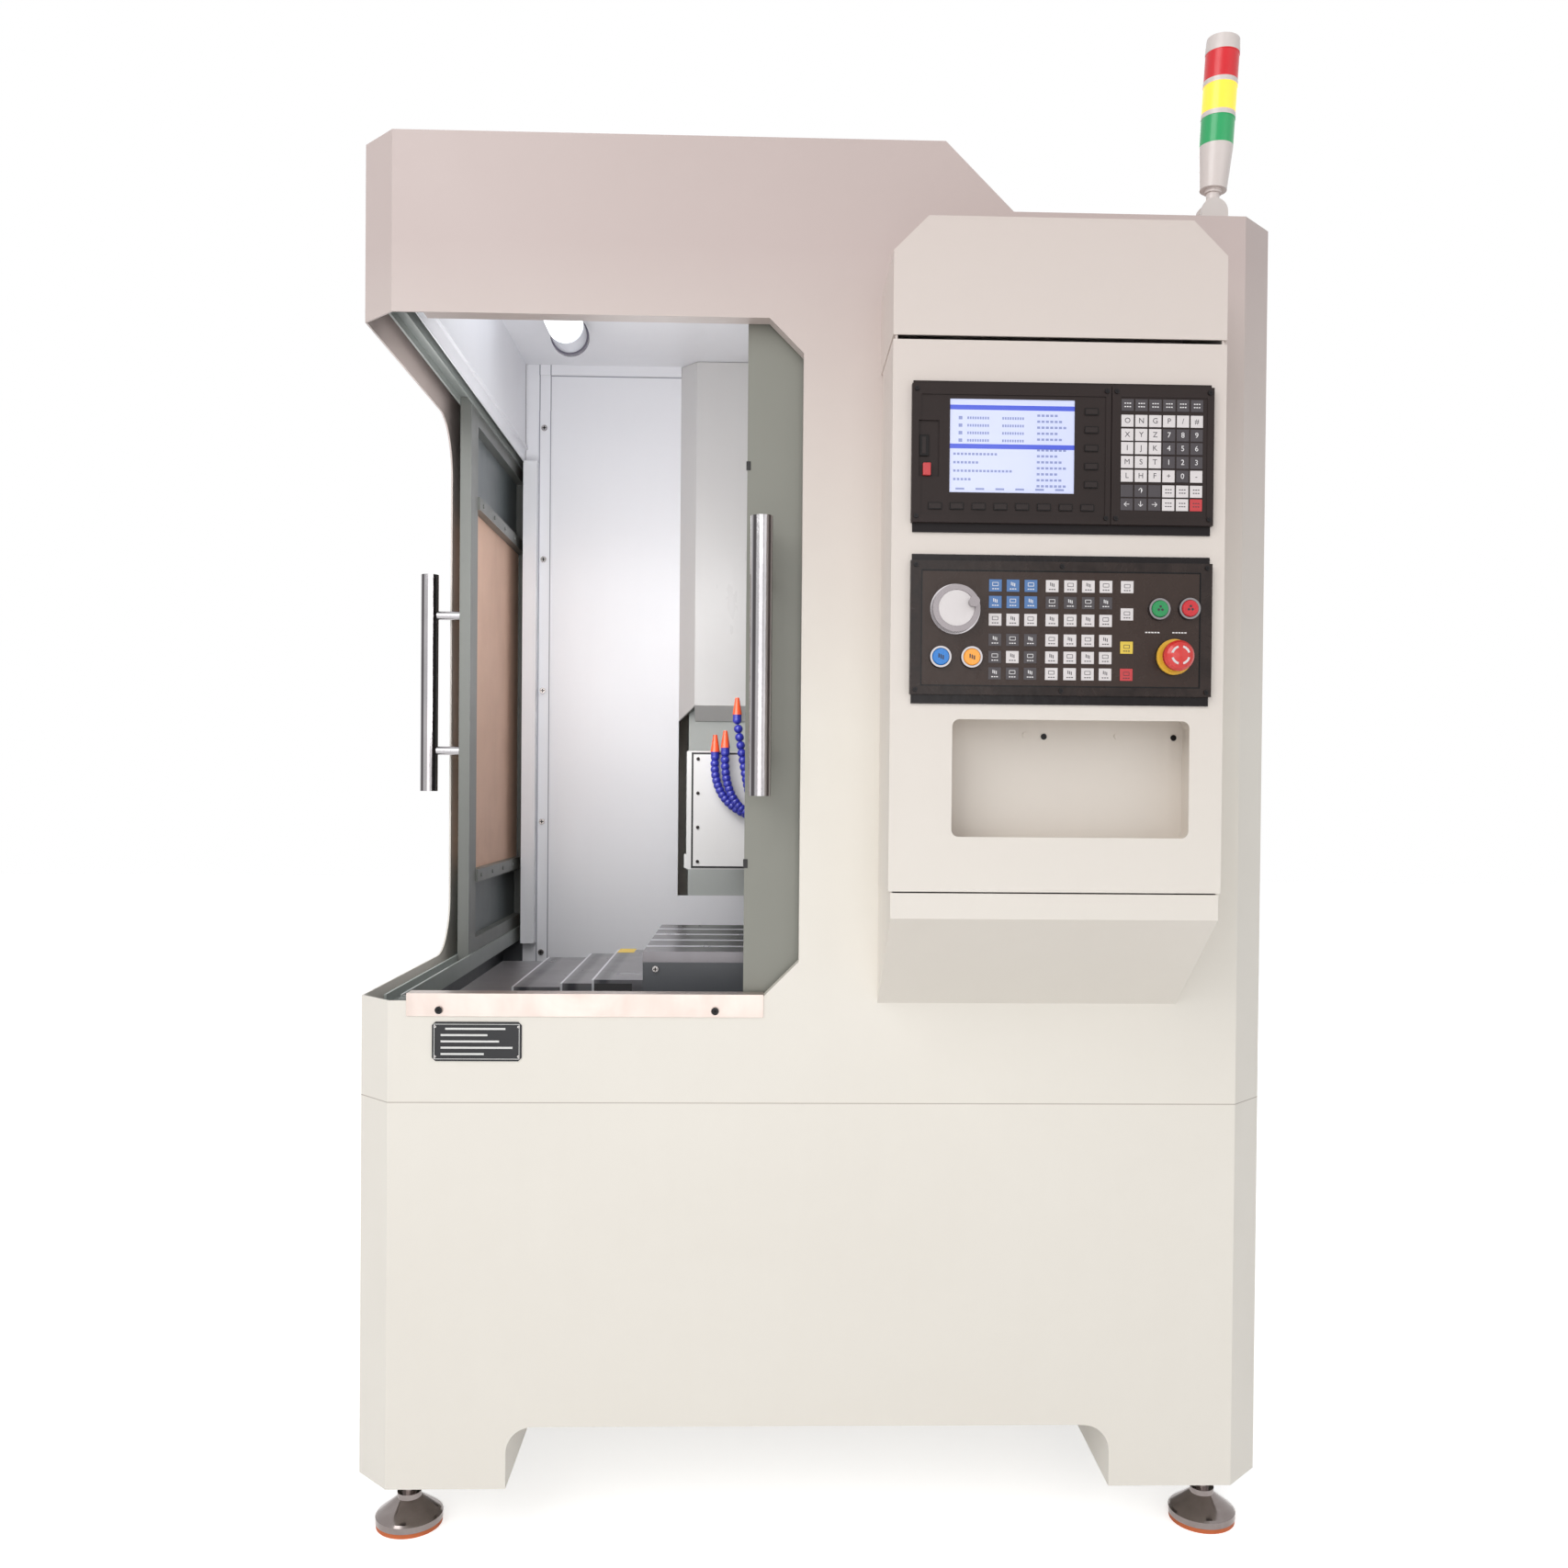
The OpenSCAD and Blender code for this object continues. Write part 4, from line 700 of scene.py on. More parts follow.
def table_finishes(slots: list[tuple[float, float]]) -> dict[str, Finish]:
    """Finishes of the table and its way covers, with painted highlights along their edges and a
    painted dark reflection near each cover's end.

    Args:
        slots: Front and rear edge of each T-slot's throat.

    Returns:
        Finish of each such node, by node name.
    """
    made = {}
    for node in ("x_covers_outer", "x_covers_upper", "x_covers_lower"):
        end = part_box(node)[0].x
        # Painted reflection: a dark band near each cover's end; painted highlight: a bright line on
        # the end's edge.
        bands = (
            Band(X, end + 0.006, end + 0.03, linear(84, 84, 88), soft=0.008),
            Band(X, end - BEYOND, end + 0.004, EDGE_HIGHLIGHT, soft=0.0008),
        )
        made[node] = replace(FINISHES["cover_steel"], name=node, bands=bands)
    # Painted highlights: bright lines along both edges of each T-slot's throat.
    edges = [y for low, high in slots for y in (low - 0.001, high + 0.003)]
    made["table"] = smooth(
        "table_iron", (118, 116, 120), 0.3, 0.3, metallic=0.85,
        mark_colour=linear(106, 98, 94), mark_scale=6.0, **ROLLED,
        bands=tuple(Band(Y, y - 0.004, y + 0.002, EDGE_HIGHLIGHT, soft=0.0008) for y in edges),
    )
    return made


def node_finishes(slots: list[tuple[float, float]]) -> dict[str, Finish]:
    """Finishes of the nodes that don't take their slot's own.

    Args:
        slots: Front and rear edge of each T-slot's throat.

    Returns:
        Finish of each such node, by node name.
    """
    return {
        **cabinet_finishes(),
        **unit_finishes(),
        **lamp_finishes(),
        **table_finishes(slots),
        **{node: chrome_tube(node) for node in ("front_door_handle", "side_door_handle")},
        "coolant_hoses": hose_finish(),
        "door_rails": FINISHES["rail_paint"],
        "document_pocket": FINISHES["pocket_cream"],
        "table_guard": FINISHES["tray_steel"],
    }


class Wardrobe:
    """Builds each material once and puts it on nodes and pieces."""

    def __init__(self) -> None:
        """Starts with nothing built."""
        self.built: dict[str, bpy.types.Material] = {}

    def material(self, finish: Finish) -> bpy.types.Material:
        """Material of a finish.

        Args:
            finish: The finish.

        Returns:
            Its material, built at its first use.
        """
        if finish.name not in self.built:
            self.built[finish.name] = finish.build()
        return self.built[finish.name]

    def dress(self, obj: bpy.types.Object, finish: Finish) -> None:
        """Puts a finish in every material slot of an object."""
        material = self.material(finish)
        if not obj.data.materials:
            obj.data.materials.append(material)
        for i in range(len(obj.data.materials)):
            obj.data.materials[i] = material


FACING = Matrix.Rotation(math.radians(90), 4, "X")


class Maker:
    """Makes finished pieces out of bmesh shapes and fixes them to the frame."""

    def __init__(self, wardrobe: Wardrobe) -> None:
        """Keeps the materials."""
        self.wardrobe = wardrobe

    def block(
        self, bm: Shape, lo: Point, hi: Point, bevel: float = 0.0, segments: int = 2
    ) -> None:
        """Adds a block with softened edges.

        Args:
            bm: Mesh to add to.
            lo: Lowest corner.
            hi: Highest corner.
            bevel: Width of the softened edges.
            segments: Steps across an edge.
        """
        size = [b - a for a, b in zip(lo, hi)]
        mid = [(a + b) / 2 for a, b in zip(lo, hi)]
        place = Matrix.Translation(mid) @ Matrix.Diagonal((*size, 1))
        made = bmesh.ops.create_cube(bm, size=1.0, matrix=place)
        if bevel:
            edges = list({e for v in made["verts"] for e in v.link_edges})
            bmesh.ops.bevel(
                bm, geom=edges, offset=bevel, affect="EDGES", segments=segments,
                profile=0.5, material=-1,
            )

    def disc(
        self, bm: Shape, centre: Point, radius: float, depth: float,
        segments: int = 24, top: float = 1.0,
    ) -> None:
        """Adds a short cylinder or cone that points to the front.

        Args:
            bm: Mesh to add to.
            centre: Middle of its rear face.
            radius: Radius at the rear.
            depth: How far it stands to the front.
            segments: Sides.
            top: Share of the radius at the front.
        """
        place = Matrix.Translation((centre[0], centre[1] - depth / 2, centre[2])) @ FACING
        bmesh.ops.create_cone(
            bm, cap_ends=True, segments=segments, radius1=radius, radius2=radius * top,
            depth=depth, matrix=place,
        )

    def finish(self, bm: Shape, name: str, finish: str, body: str, slot: str) -> None:
        """Turns a mesh into a dressed piece on a body.

        Args:
            bm: The mesh.
            name: Name of the piece.
            finish: Name of its finish.
            body: Body it moves with.
            slot: Not used.
        """
        mesh = bpy.data.meshes.new(name)
        bm.to_mesh(mesh)
        bm.free()
        obj = placed(name, mesh)
        self.wardrobe.dress(obj, FINISHES[finish])
        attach(obj, body)
        LOG.info("%s: %d faces", name, len(mesh.polygons))

    def blocks(
        self, name: str, finish: str, body: str, slot: str, boxes: Boxes,
        bevel: float = 0.0, segments: int = 2,
    ) -> None:
        """Makes one piece out of blocks.

        Args:
            name: Name of the piece.
            finish: Name of its finish.
            body: Body it moves with.
            slot: Not used.
            boxes: Lowest and highest corner of each block.
            bevel: Width of the softened edges.
            segments: Steps across an edge.
        """
        bm = bmesh.new()
        for lo, hi in boxes:
            self.block(bm, lo, hi, bevel, segments)
        self.finish(bm, name, finish, body, slot)

    def legends(self, marks: list[tuple[str, Point]], size: float) -> Shape:
        """Makes plain key legends as thin print facing the front.

        Args:
            marks: Text and place of the middle of each.
            size: Height of the type.

        Returns:
            The mesh of all of them.
        """
        bm = bmesh.new()
        for text, place in marks:
            curve = bpy.data.curves.new("legend", "FONT")
            curve.body = text
            curve.size = size
            curve.align_x, curve.align_y = "CENTER", "CENTER"
            curve.resolution_u = 3
            holder = placed("legend", curve)
            bpy.context.view_layer.update()
            seen = holder.evaluated_get(bpy.context.evaluated_depsgraph_get())
            flat = bpy.data.meshes.new_from_object(seen)
            flat.transform(Matrix.Translation(place) @ FACING)
            bm.from_mesh(flat)
            bpy.data.objects.remove(holder)
            bpy.data.curves.remove(curve)
            bpy.data.meshes.remove(flat)
        return bm


@dataclass
class Panel:
    """Sunk face of a control unit, with places measured from its top left corner."""

    node: str
    sunk: float = 2.8

    def at(self, x: float, down: float, out: float = 0.0) -> Point:
        """Point on the unit's front face.

        Args:
            x: Distance from the left edge, in millimetres.
            down: Distance below the top edge, in millimetres.
            out: Distance in front of the sunk face, in millimetres.

        Returns:
            The point in metres.
        """
        lo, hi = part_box(self.node)
        return lo.x + x * MM, lo.y + (self.sunk - out) * MM, hi.z - down * MM


@dataclass
class Keys:
    """Square membrane keys of one control unit, gathered by colour."""

    maker: Maker
    panel: Panel
    size: float
    tall: float
    lift: float = 0.8
    corner: float = 0.35
    boxes: dict[str, Boxes] = field(default_factory=dict)

    def add(self, shade: str, x: float, down: float) -> None:
        """Adds one key.

        Args:
            shade: Name of its finish.
            x: Middle of the key from the panel's left edge, in millimetres.
            down: Middle of the key below the panel's top edge, in millimetres.
        """
        lo = self.panel.at(x - self.size / 2, down + self.tall / 2, self.lift)
        hi = self.panel.at(x + self.size / 2, down - self.tall / 2, -0.2)
        self.boxes.setdefault(shade, []).append((lo, hi))

    def finish(self, unit: str, *colours: str) -> None:
        """Makes a piece of the keys of each colour, named for their unit."""
        for colour in colours:
            shade = f"key_{colour}"
            boxes = self.boxes[shade]
            self.maker.blocks(f"{unit}_{shade}", shade, *UNIT, boxes, self.corner * MM)


class Sign(Enum):
    """Plain mark on a key or a button."""

    FRAME = 0
    ARROW = 1
    LINES = 2
    PLUS = 3
    DOTS = 4


@dataclass
class Signs:
    """Plain marks printed in one colour on a unit's keys."""

    maker: Maker
    panel: Panel
    out: float
    size: float = 4.4
    stroke: float = 0.7
    thick: float = 0.3
    bm: Shape = field(default_factory=bmesh.new)

    def bar(self, x: float, down: float, wide: float, tall: float) -> None:
        """Adds a flat bar round its middle, all in millimetres."""
        lo = self.panel.at(x - wide / 2, down + tall / 2, self.out)
        hi = self.panel.at(x + wide / 2, down - tall / 2, self.out - self.thick)
        self.maker.block(self.bm, lo, hi)

    def row(self, x: float, down: float, count: int, pitch: float, bar: tuple) -> None:
        """Adds a centred row of bars in place of a caption, all in millimetres."""
        for k in range(count):
            self.bar(x + (k - (count - 1) / 2) * pitch, down, *bar)

    def caption(self, x: float, down: float) -> None:
        """Adds the short row that stands on a key."""
        self.row(x, down, 3, 3.2, (2.2, 1.3))

    def add(self, sign: Sign, x: float, down: float) -> None:
        """Adds a mark.

        Args:
            sign: Which mark.
            x: Its middle from the unit's left edge, in millimetres.
            down: Its middle below the unit's top edge, in millimetres.
        """
        r, w = self.size / 2, self.stroke
        if sign is Sign.FRAME:
            for k in (-1, 1):
                self.bar(x, down + k * r, 3.4 * r, w)
                self.bar(x + k * 1.7 * r, down, w, 2 * r)
        elif sign is Sign.ARROW:
            self.bar(x - r, down, 2 * r, w)
            for k in range(4):
                self.bar(x + k * r / 3, down, w, 2 * r * (1 - k / 4))
        elif sign is Sign.LINES:
            for k in (-1, 0, 1):
                self.bar(x + k * r, down + k * w, w * 1.6, 2 * r)
        elif sign is Sign.PLUS:
            self.bar(x, down, 2 * r, w)
            self.bar(x, down, w, 2 * r)
        else:
            for k in range(3):
                turn = math.radians(90 + 120 * k)
                across, up = r * math.cos(turn), r * math.sin(turn)
                place = self.panel.at(x + across, down - up, self.out - self.thick)
                self.maker.disc(self.bm, place, r * 0.62 * MM, self.thick * MM, 16)


@dataclass
class KeypadUnit:
    """Letter and number keys beside the display."""

    maker: Maker
    key: tuple[float, float] = (16.3, 15.8)
    columns: tuple[float, ...] = tuple(20.7 + 18.45 * i for i in range(6))
    rows: tuple[float, ...] = (24.3, 45.0, 63.3, 80.9, 99.2, 117.4, 137.2, 155.0)
    legends: tuple[str, ...] = (
        "      ", "ONGP/#", "XYZ789", "IJK456", "MST123", "LHF+0-",
        " \u2191    ", "\u2190\u2193\u2192   ",
    )
    type_size: float = 10.0
    line: float = 2.2

    def shade(self, r: int, c: int) -> str:
        """Finish of the key in a row and a column."""
        if (r, c) == (7, 5):
            return "key_red"
        dark = r == 0 or (c > 2 and 1 < r < 5) or (r, c) == (5, 4) or (r > 5 and c < 3)
        return "key_dark" if dark else "key_white"

    def build(self) -> None:
        """Builds the keys and their legends."""
        maker, panel = self.maker, Panel("keypad_unit")
        keys = Keys(maker, panel, *self.key)
        out = keys.lift + 0.06
        light, ink = Signs(maker, panel, out), Signs(maker, panel, out)
        letters: list[tuple[str, Point]] = []
        digits: list[tuple[str, Point]] = []
        for r, down in enumerate(self.rows):
            for c, x in enumerate(self.columns):
                shade = self.shade(r, c)
                keys.add(shade, x, down)
                legend = self.legends[r][c]
                if legend != " ":
                    marks = digits if shade == "key_dark" else letters
                    marks.append((legend, panel.at(x, down, out)))
                elif shade != "key_dark" or r == 0:
                    for k in (-1, 1):
                        (light if r == 0 else ink).caption(x, down + k * self.line)
        keys.finish("keypad", "white", "dark", "red")
        size = self.type_size * MM
        maker.finish(maker.legends(letters, size), "keypad_letters", "legend_ink", *UNIT)
        maker.finish(maker.legends(digits, size), "keypad_digits", "legend_white", *UNIT)
        maker.finish(light.bm, "keypad_captions", "legend_white", *UNIT)
        maker.finish(ink.bm, "keypad_captions_dark", "legend_ink", *UNIT)


@dataclass
class DisplayUnit:
    """Soft keys, the port beside the screen and what the screen shows."""

    maker: Maker
    soft_key: tuple[float, float] = (18.0, 9.0)
    side_keys: tuple[float, ...] = tuple(139.5 - 24 * k for k in range(5))
    low_keys: tuple[float, ...] = tuple(22 + 28.8 * k for k in range(8))
    side_x: float = 228.0
    low_down: float = 170.0
    rim: float = 1.1
    seat: float = 1.2
    rows: int = 4
    figures: int = 9
    print_depth: float = 0.0002

    def build(self) -> None:
        """Builds the soft keys, the port with its red cap and the screen's picture."""
        maker, panel = self.maker, Panel("display_unit", 3.3)
        places = [(self.side_x, down) for down in self.side_keys]
        places += [(x, self.low_down) for x in self.low_keys]
        wide, tall = self.soft_key
        for name, finish, inset, out in (
            ("soft_key_edges", "key_edge", 0.0, 1.9), ("soft_key_caps", "key_soft", self.rim, 2.2),
        ):
            boxes = [
                (
                    panel.at(x + inset, down - inset, out),
                    panel.at(x + wide - inset, down - tall + inset, self.seat),
                )
                for x, down in places
            ]
            maker.blocks(name, finish, *UNIT, boxes, 0.2 * MM)
        for name, finish, low, high, bevel, segments in (
            ("usb_port", "key_edge", (10.5, 100.0, 0.3), (22.5, 72.0, -2.6), 0.8, 2),
            ("usb_tongue", "key_soft", (13.5, 97.0, 0.6), (18.5, 75.0, 0.0), 0.2, 2),
            ("port_cap", "key_red", (14.5, 126.0, 4.5), (25.0, 109.5, -2.6), 1.2, 3),
        ):
            boxes = [(panel.at(*low), panel.at(*high))]
            maker.blocks(name, finish, *UNIT, boxes, bevel * MM, segments)
        glass = ("cabinet", "screen_glass")
        bars = [(0.0, 0.885, 1.0, 0.05), (0.0, 0.47, 1.0, 0.05)]
        maker.blocks("screen_bars", "screen_blue", *glass, self._on_screen(bars))
        figures = self._on_screen(self._figures())
        maker.blocks("screen_figures", "screen_ink", *glass, figures)

    def _on_screen(self, fields: list[tuple[float, float, float, float]]) -> Boxes:
        """Blocks of flat fields on the screen.

        Args:
            fields: Left, foot, width and height of each, as shares of the screen.

        Returns:
            The corners of the blocks.
        """
        lo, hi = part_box("display_screen")
        wide, high = hi.x - lo.x, hi.z - lo.z
        front, back = lo.y - self.print_depth, lo.y + self.print_depth
        return [
            (
                (lo.x + x * wide, front, lo.z + z * high),
                (lo.x + (x + across) * wide, back, lo.z + (z + up) * high),
            )
            for x, z, across, up in fields
        ]

    def _figures(self) -> list[tuple[float, float, float, float]]:
        """Fields in place of the figures and lines that the screen shows."""
        fields = []
        for k in range(self.rows):
            z = 0.78 - k * 0.08
            fields.append((0.07, z, 0.03, 0.035))
            starts = (start + m * 0.02 for start in (0.14, 0.42) for m in range(self.figures))
            fields += [(x, z + 0.004, 0.013, 0.027) for x in starts]
        for k in range(12):
            z = 0.82 - k * 0.064 - (0.05 if k > 4 else 0.0)
            fields += [(0.7 + m * 0.035, z, 0.024, 0.024) for m in range(5 + k % 3)]
        for k, count in enumerate((12, 7, 16, 5)):
            fields += [(0.03 + m * 0.03, 0.4 - k * 0.09, 0.02, 0.024) for m in range(count)]
        return fields + [(0.05 + m * 0.16, 0.03, 0.07, 0.02) for m in range(6)]


@dataclass
class OperatorPanel:
    """Membrane keys of the operator panel and their marks."""

    maker: Maker
    key: tuple[float, float] = (16.8, 16.0)
    left: tuple[float, ...] = (112.1, 135.4, 159.1)
    middle: tuple[float, ...] = (187.3, 211.6, 235.3, 258.7)
    right: float = 286.9
    rows: tuple[float, ...] = (41.0, 62.7, 85.9, 112.4, 135.0, 156.7)
    single: tuple[tuple[float, str], ...] = (
        (41.0, "key_white"), (77.0, "key_white"), (120.9, "key_yellow"), (156.7, "key_red"),
    )
    mark: tuple[float, float] = (-1.8, 4.4)
    single_mark: tuple[float, float] = (-1.2, 4.6)
    captions: tuple[float, ...] = (321.0, 357.0)
    caption_row: float = 100.5

    def shade(self, x: float, r: int) -> str:
        """Finish of the key in a column and a row."""
        jog = x in self.left and r > 2 and (x, r) != (self.left[1], 4)
        if jog or (x in self.middle and r == 1):
            return "key_dark"
        return "key_blue" if x in self.left and r < 2 else "key_white"

    def build(self) -> None:
        """Builds the keys, their marks and the plain captions under the round buttons."""
        maker, panel = self.maker, Panel("operator_panel")
        keys = Keys(maker, panel, *self.key, lift=0.4)
        out = keys.lift + 0.06
        light, ink = Signs(maker, panel, out), Signs(maker, panel, out)
        kinds = (Sign.FRAME, Sign.ARROW, Sign.LINES, Sign.PLUS)
        places = [(x, r) for x in (*self.left, *self.middle) for r in range(len(self.rows))]
        for k, (x, r) in enumerate(places):
            shade, down = self.shade(x, r), self.rows[r]
            keys.add(shade, x, down)
            print_in = ink if shade == "key_white" else light
            print_in.add(kinds[(k + r) % len(kinds)], x, down + self.mark[0])
            print_in.caption(x, down + self.mark[1])
        for down, shade in self.single:
            keys.add(shade, self.right, down)
            ink.add(Sign.FRAME, self.right, down + self.single_mark[0])
            ink.caption(self.right, down + self.single_mark[1])
        for x in self.captions:
            light.row(x, self.caption_row, 5, 4.0, (3.0, 1.6))
        keys.finish("operator", "white", "dark", "blue", "yellow", "red")
        maker.finish(light.bm, "operator_marks_light", "legend_white", *UNIT)
        maker.finish(ink.bm, "operator_marks", "legend_ink", *UNIT)


@dataclass
class RoundControls:
    """Face of the dial, marks of the push buttons, collar and arcs of the stop button."""

    maker: Maker
    dial_face: float = 23.4
    dial_height: float = 0.0238
    dial_depth: float = 0.0009
    mark: tuple[float, float] = (5.6, 1.1)
    collar: tuple[float, float] = (10.0, 23.5)
    collar_height: float = 0.016
    collar_depth: float = 0.0035
    arc: tuple[float, float] = (9.8, 12.6)
    arc_span: tuple[float, float] = (15.0, 58.0)
    arc_sunk: float = 0.0022
    arc_depth: float = 0.0016
    steps: int = 48
    arc_steps: int = 10

    def ring(
        self, centre: Point, radii: tuple[float, float], depth: float, start: float, sweep: float
    ) -> Shape:
        """Makes part of a flat ring that faces the front.

        Args:
            centre: Middle of its rear face.
            radii: Inner and outer radius, in millimetres.
            depth: How far it stands to the front, in metres.
            start: Angle of its start, in degrees.
            sweep: Angle it covers, in degrees.

        Returns:
            The mesh.
        """
        bm = bmesh.new()
        turn = Matrix.Rotation(math.radians(start), 4, "Y")
        ends = [bm.verts.new(Vector(centre) + turn @ Vector((r * MM, 0, 0))) for r in radii]
        edge = bm.edges.new(ends)
        whole = sweep >= 360
        bmesh.ops.spin(
            bm, geom=[*ends, edge], cent=centre, axis=(0, 1, 0), angle=math.radians(sweep),
            steps=self.steps if whole else self.arc_steps, use_merge=whole,
        )
        flat = [f for f in bm.faces if all(abs(v.co.y - centre[1]) < 1e-7 for v in f.verts)]
        made = bmesh.ops.extrude_face_region(bm, geom=flat)
        moved = [v for v in made["geom"] if isinstance(v, bmesh.types.BMVert)]
        bmesh.ops.translate(bm, verts=moved, vec=(0, -depth, 0))
        bmesh.ops.recalc_face_normals(bm, faces=bm.faces)
        return bm

    def build(self) -> None:
        """Builds the round pieces."""
        maker = self.maker
        lo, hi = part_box("handwheel_dial")
        middle = ((lo.x + hi.x) / 2, hi.y - self.dial_height, (lo.z + hi.z) / 2)
        face = bmesh.new()
        maker.disc(face, middle, self.dial_face * MM, self.dial_depth, self.steps)
        maker.finish(face, "dial_face", "key_white", "handwheel", "dial_plastic")
        marks = {"blue": Sign.LINES, "orange": Sign.LINES, "green": Sign.DOTS, "red": Sign.DOTS}
        for name, sign in marks.items():
            node = f"button_{name}"
            lo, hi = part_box(node)
            signs = Signs(maker, Panel(node, 0.4), 0.5, *self.mark)
            signs.add(sign, (hi.x - lo.x) / 2 / MM, (hi.z - lo.z) / 2 / MM)
            maker.finish(signs.bm, f"{node}_mark", "legend_ink", node, f"{name}_plastic")
        lo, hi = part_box("stop_mushroom")
        x, z = (lo.x + hi.x) / 2, (lo.z + hi.z) / 2
        seat = (x, hi.y - self.collar_height, z)
        collar = self.ring(seat, self.collar, self.collar_depth, 0, 360)
        maker.finish(collar, "stop_collar", "collar_yellow", "cabinet", "button_chrome")
        start, sweep = self.arc_span
        seat = (x, lo.y + self.arc_sunk, z)
        for k in range(4):
            arc = self.ring(seat, self.arc, self.arc_depth, 90 * k + start, sweep)
            maker.finish(arc, f"stop_arc_{k + 1}", "key_white", "stop_mushroom", "stop_plastic")


@dataclass
class Trim:
    """Gasket, labels, plate fields and catches fixed to the machine."""

    maker: Maker
    gasket: float = 0.0035
    gasket_seat: float = 0.0058
    gasket_inset: Point = (0.016, 0.012, 0.006)
    catch_places: tuple[float, float] = (0.244, 0.206)
    catch_height: float = 0.013
    plate_edge: float = 0.003
    border: float = 0.0008
    print_depth: float = 0.0002
    lines: tuple[tuple[float, float], ...] = (
        (0.15, 0.82), (0.1, 0.62), (0.1, 0.75), (0.1, 0.9), (0.1, 0.58),
    )
    first_line: float = 0.8
    line_pitch: float = 0.16
    line_height: float = 0.05

    def frame_of(self, lo: Point, hi: Point, width: float) -> Boxes:
        """Members of a flat rectangular frame that faces the front.

        Args:
            lo: Lowest outer corner.
            hi: Highest outer corner.
            width: Width of its members.

        Returns:
            The corners of its four blocks.
        """
        (left, front, foot), (right, back, top) = lo, hi
        return [
            (lo, (left + width, back, top)),
            ((right - width, front, foot), hi),
            ((left + width, front, foot), (right - width, back, foot + width)),
            ((left + width, front, top - width), (right - width, back, top)),
        ]

    def build(self) -> None:
        """Builds the head's gasket, the nameplate's print, the door catches and the labels."""
        blocks = self.maker.blocks
        lo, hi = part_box("head_cover")
        front, g = lo.y + self.gasket_seat, self.gasket
        left, right, ends = self.gasket_inset
        low = (lo.x + left - g, front - 0.002, lo.z + ends - g)
        gasket = self.frame_of(low, (hi.x - right + g, front, hi.z - ends + g), g)
        blocks("head_gasket", "gasket_rubber", "head", "head_paint", gasket)
        blocks("nameplate_fields", "label_white", "cabinet", "plate_metal", self._plate())
        lo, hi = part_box("front_door")
        below_top, above_foot = self.catch_places
        catches = [
            ((lo.x - 0.0015, lo.y - 0.0015, z), (lo.x + 0.005, lo.y + 0.002, z + self.catch_height))
            for z in (hi.z - below_top, lo.z + above_foot)
        ]
        blocks("door_catches", "gasket_rubber", "front_door", "door_paint", catches, 0.0006)
        lo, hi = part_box("x_covers_outer")
        left = lo.x + 0.004
        label = ((left, lo.y + 0.355, hi.z), (lo.x + 0.034, lo.y + 0.413, hi.z + 0.0003))
        slot = ((left, lo.y - 0.0003, hi.z - 0.02), (lo.x + 0.063, lo.y + 0.001, hi.z - 0.006))
        blocks("cover_label", "label_yellow", "table", "cover_steel", [label])
        blocks("cover_slot", "gasket_rubber", "table", "cover_steel", [slot])

    def _plate(self) -> Boxes:
        """Border and plain fields of the nameplate."""
        lo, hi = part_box("nameplate")
        edge, front, back = self.plate_edge, lo.y - self.print_depth, lo.y + self.print_depth
        low, high = (lo.x + edge, front, lo.z + edge), (hi.x - edge, back, hi.z - edge)
        boxes = self.frame_of(low, high, self.border)
        wide, tall = hi.x - lo.x, hi.z - lo.z
        for k, (start, end) in enumerate(self.lines):
            up = lo.z + tall * (self.first_line - self.line_pitch * k)
            low = (lo.x + wide * start, front, up)
            boxes.append((low, (lo.x + wide * end, back, up + tall * self.line_height)))
        return boxes


@dataclass
class Screws:
    """Bright or black faces of the screws of one node, each with a near-black mark as painted shade
    of its drive.
    """

    node: str
    body: str
    slot: str
    size: float
    across: tuple[float, ...]
    up: tuple[float, ...]
    finish: str = "screw_zinc"
    hexagon: bool = False
    face: float = 0.0
    cap_depth: float = 0.0009
    cap_top: float = 0.9
    recess_depth: float = 0.0002
    cross: tuple[float, float] = (0.62, 0.14)

    def build(self, maker: Maker) -> None:
        """Builds a cap over each screw head, at each distance across and up, in millimetres."""
        lo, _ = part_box(self.node)
        heads, recess_shade = bmesh.new(), bmesh.new()
        r = self.size / 2 * MM
        deep = self.recess_depth
        front = lo.y + self.face * MM
        for x in self.across:
            for z in self.up:
                x_at, z_at = lo.x + x * MM, lo.z + z * MM
                seat = (x_at, front + 0.0006, z_at)
                maker.disc(heads, seat, r * 1.05, self.cap_depth, top=self.cap_top)
                # Painted shade: a thin near-black hexagon or cross on the head stands for the shade
                # inside the screw's drive.
                back = front - deep
                if self.hexagon:
                    maker.disc(recess_shade, (x_at, back, z_at), r * 0.5, deep, 6)
                    continue
                for wide, tall in (self.cross, self.cross[::-1]):
                    low = (x_at - r * wide, back - deep, z_at - r * tall)
                    maker.block(recess_shade, low, (x_at + r * wide, back, z_at + r * tall))
        maker.finish(heads, f"{self.node}_screws", self.finish, self.body, self.slot)
        maker.finish(recess_shade, f"{self.node}_recess_shades", "key_edge", self.body, self.slot)


